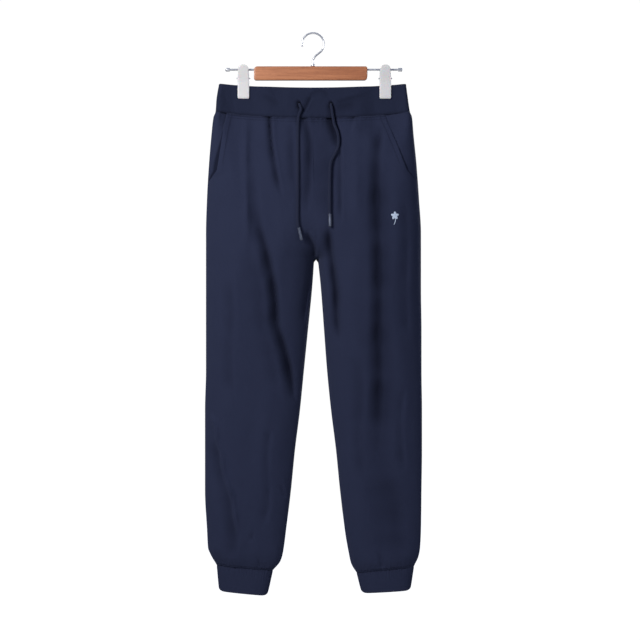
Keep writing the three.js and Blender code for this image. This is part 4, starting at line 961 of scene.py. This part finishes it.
collar = mesh_of("turned_collar", patch(turned(collar_profile, (0, 0, -64.7), (0, 0, 1)), ring=True,
                                        caps=True), sharp=35)
dress(collar, steel_finish, "steel", "hook_collar")
rod = mesh_of("steel_rod", patch(turned([(0, 1.7), (0.3, 2), (335.7, 2), (336, 1.7)], (-166, 0, -71.5),
                                        (1, 0, 0), 32), ring=True, caps=True), sharp=40)
dress(rod, steel_finish, "steel", "hanger_rod")
for side_name, side in SIDES.items():
    profile = [(0, 3.3), (0.3, 3.6), (1.6, 3.6), (1.9, 3.3), (2.4, 3.3), (2.7, 3.6), (6.6, 3.6), (7.8, 3.2),
               (8.6, 2.2), (9, 0.7)]
    start = (-166.3 if side < 0 else 170.3, 0, -71.5)
    cap = mesh_of(f"domed_cap_{side_name}", patch(turned(profile, start, (side, 0, 0), 32), ring=True,
                                                  caps=True), sharp=35)
    dress(cap, steel_finish, "steel", f"rod_cap_{side_name}")


# Clips: two white moulded jaws on a steel pin, held shut on the waistband by a coil spring round the pin.
# The front jaw has an ear at each edge for the pin, and the back jaw has two in between and an eye that
# slides on the rod.
plastic_finish, shader = finish_named("white_moulded_plastic", Roughness=0.34, Subsurface_Weight=0.12,
                                      Subsurface_Scale=0.002)
place = object_place(plastic_finish)
skin = noise(plastic_finish, place, 900.0, 3.0)
flow = noise(plastic_finish, place, 30.0, 2.0)
wire_up(plastic_finish, shader, blend(plastic_finish, flow, linear(206, 203, 200), linear(215, 212, 208)),
        None, skin, 0.02)
PIVOT_Z, CLIP_TOP, CLIP_BOTTOM = -89, -62.5, -130
for side_name, clip_x in zip(SIDES, CLIP_X):
    for face_name, face in FACES.items():
        z = np.concatenate([ends(CLIP_TOP, -90, 9, 14)[:14], np.linspace(-73, -126, 38),
                            ends(-100, CLIP_BOTTOM, 2.5, 8)[8:]])
        inside = np.interp(z, [-130, -99, -86, -62.5], [3.6, 3.8, 4.2, 8.6])
        outside = np.interp(z, [-130, -127, -97, -89, -68.5, -62.5], [6.0, 7.0, 7.0, 8.0, 12.6, 13.3])
        wide = np.interp(z, [-130, -96, -62.5], [11.5, 11.5, 10.2])
        wide = np.minimum(rounded(CLIP_TOP - z, wide, 9), rounded(z - CLIP_BOTTOM, wide, 2.5))
        thin = np.minimum(rounded(CLIP_TOP - z, (outside - inside) / 2, 1.1),
                          rounded(z - CLIP_BOTTOM, (outside - inside) / 2, 1.0))
        plate = loft(z[::-1], wide[::-1], thin[::-1], 5, "z", (clip_x, face * (inside + outside)[::-1] / 2))
        parts = [patch(plate, ring=True, caps=True)]
        ears = ((-11.4, -8.3), (8.3, 11.4)) if face < 0 else ((-7.6, -6), (6, 7.6))
        for first, last in ears:
            x = ends(clip_x + first, clip_x + last, 0.5, 5)
            soft = np.minimum(rounded(x - clip_x - first, 4.4, 0.5), rounded(clip_x + last - x, 4.4, 0.5))
            parts.append(patch(loft(x, soft * 0.88, soft, 3, "x", (face * 1.3, PIVOT_Z), 40), ring=True,
                               caps=True))
        if face > 0:
            x = ends(clip_x - 5, clip_x + 5, 0.6, 5)
            soft = np.minimum(rounded(x - clip_x + 5, 4.5, 0.6), rounded(clip_x + 5 - x, 4.5, 0.6))
            parts.append(patch(loft(x, soft * 1.5, soft, 3.4, "x", (2.6, -71.5), 40), ring=True, caps=True))
        jaw = mesh_of(f"moulded_jaw_{face_name}_{side_name}", *parts, sharp=60)
        dress(jaw, plastic_finish, "clip_plastic", f"clip_{face_name}_jaw_{side_name}")
    profile = [(0, 0.7), (0.3, 1.2), (1.0, 1.75), (1.3, 1.75), (1.35, 1.3), (26.15, 1.3), (26.2, 1.75),
               (26.5, 1.75), (27.2, 1.2), (27.5, 0.7)]
    pin = mesh_of(f"pivot_pin_{side_name}", patch(turned(profile, (clip_x - 13.75, 0, PIVOT_Z), (1, 0, 0), 24),
                                                  ring=True, caps=True), sharp=40)
    dress(pin, steel_finish, "steel", f"clip_pin_{side_name}")
    t = np.linspace(0, 1, 260)
    coil = np.stack([clip_x - 5 + 10 * t, 2.2 * np.cos(16 * np.pi * t),
                     PIVOT_Z + 2.2 * np.sin(16 * np.pi * t)], axis=1)
    coil = np.concatenate([[[clip_x - 5, 5.6, -77]], coil, [[clip_x + 5, 5.6, -77]]])
    spring = mesh_of(f"coil_spring_{side_name}", patch(tube(evenly(coil, 360), 0.5, 8), ring=True, caps=True))
    dress(spring, steel_finish, "steel", f"clip_spring_{side_name}")


# Stage: a plain floor far below that the camera sees white, and soft studio light, strongest from the upper
# left.
angle = np.arange(96)[None] * 2 * np.pi / 96
reach = np.linspace(0.01, 1, 5)[:, None] * 14000
disc = np.stack([reach * np.cos(angle), reach * np.sin(angle), -2300 + 0 * reach * angle], axis=-1)
floor = mesh_of("floor", patch(disc, ring=True, caps=False))
floor_finish, shader = finish_named("pale_floor", Roughness=0.9, Emission_Color=(1, 1, 1, 1))
place = object_place(floor_finish)
wire_up(floor_finish, shader, blend(floor_finish, noise(floor_finish, place, 3.0),
                                    linear(150, 150, 150), linear(160, 160, 160)))
bright = calc(floor_finish, "MULTIPLY", add(floor_finish, "LightPath", {}).outputs["Is Camera Ray"], 1.0)
floor_finish.node_tree.links.new(bright, shader.inputs["Emission Strength"])
floor.data.materials.append(floor_finish)

world = bpy.data.worlds.new("studio")
bpy.context.scene.world = world
world.use_nodes = True
seen = add(world, "LightPath", {}).outputs["Is Camera Ray"]
level = calc(world, "MULTIPLY_ADD", seen, 0.84)
level.node.inputs[2].default_value = 0.18
sky = blend(world, seen, (0.7, 0.88, 1.5, 1), (1, 1, 1, 1))
world.node_tree.links.new(sky, world.node_tree.nodes["Background"].inputs["Color"])
world.node_tree.links.new(level, world.node_tree.nodes["Background"].inputs["Strength"])


def softbox(name, place, aim, size, watts):
    """A square area light that faces a point."""
    lamp = bpy.data.lights.new(name, "AREA")
    lamp.size, lamp.energy = size, watts
    made = bpy.data.objects.new(name, lamp)
    way = np.asarray(aim, float) - np.asarray(place, float)
    flat = np.hypot(way[0], way[1])
    made.location = place
    made.rotation_euler = (np.arctan2(flat, -way[2]), 0, np.arctan2(-way[0], way[1]))
    bpy.context.scene.collection.objects.link(made)


softbox("key", (-1.25, -1.6, 0.4), (0, 0, -0.5), 0.7, 46)
softbox("fill", (2.0, -1.7, -0.3), (0, 0, -0.6), 1.6, 15)
softbox("bounce", (0.2, -1.5, -2.1), (0, 0, -0.7), 1.4, 8)
softbox("behind", (1.2, 2.6, 0.5), (0, 0, -0.5), 1.4, 50)
bpy.context.scene.view_settings.view_transform = "Standard"
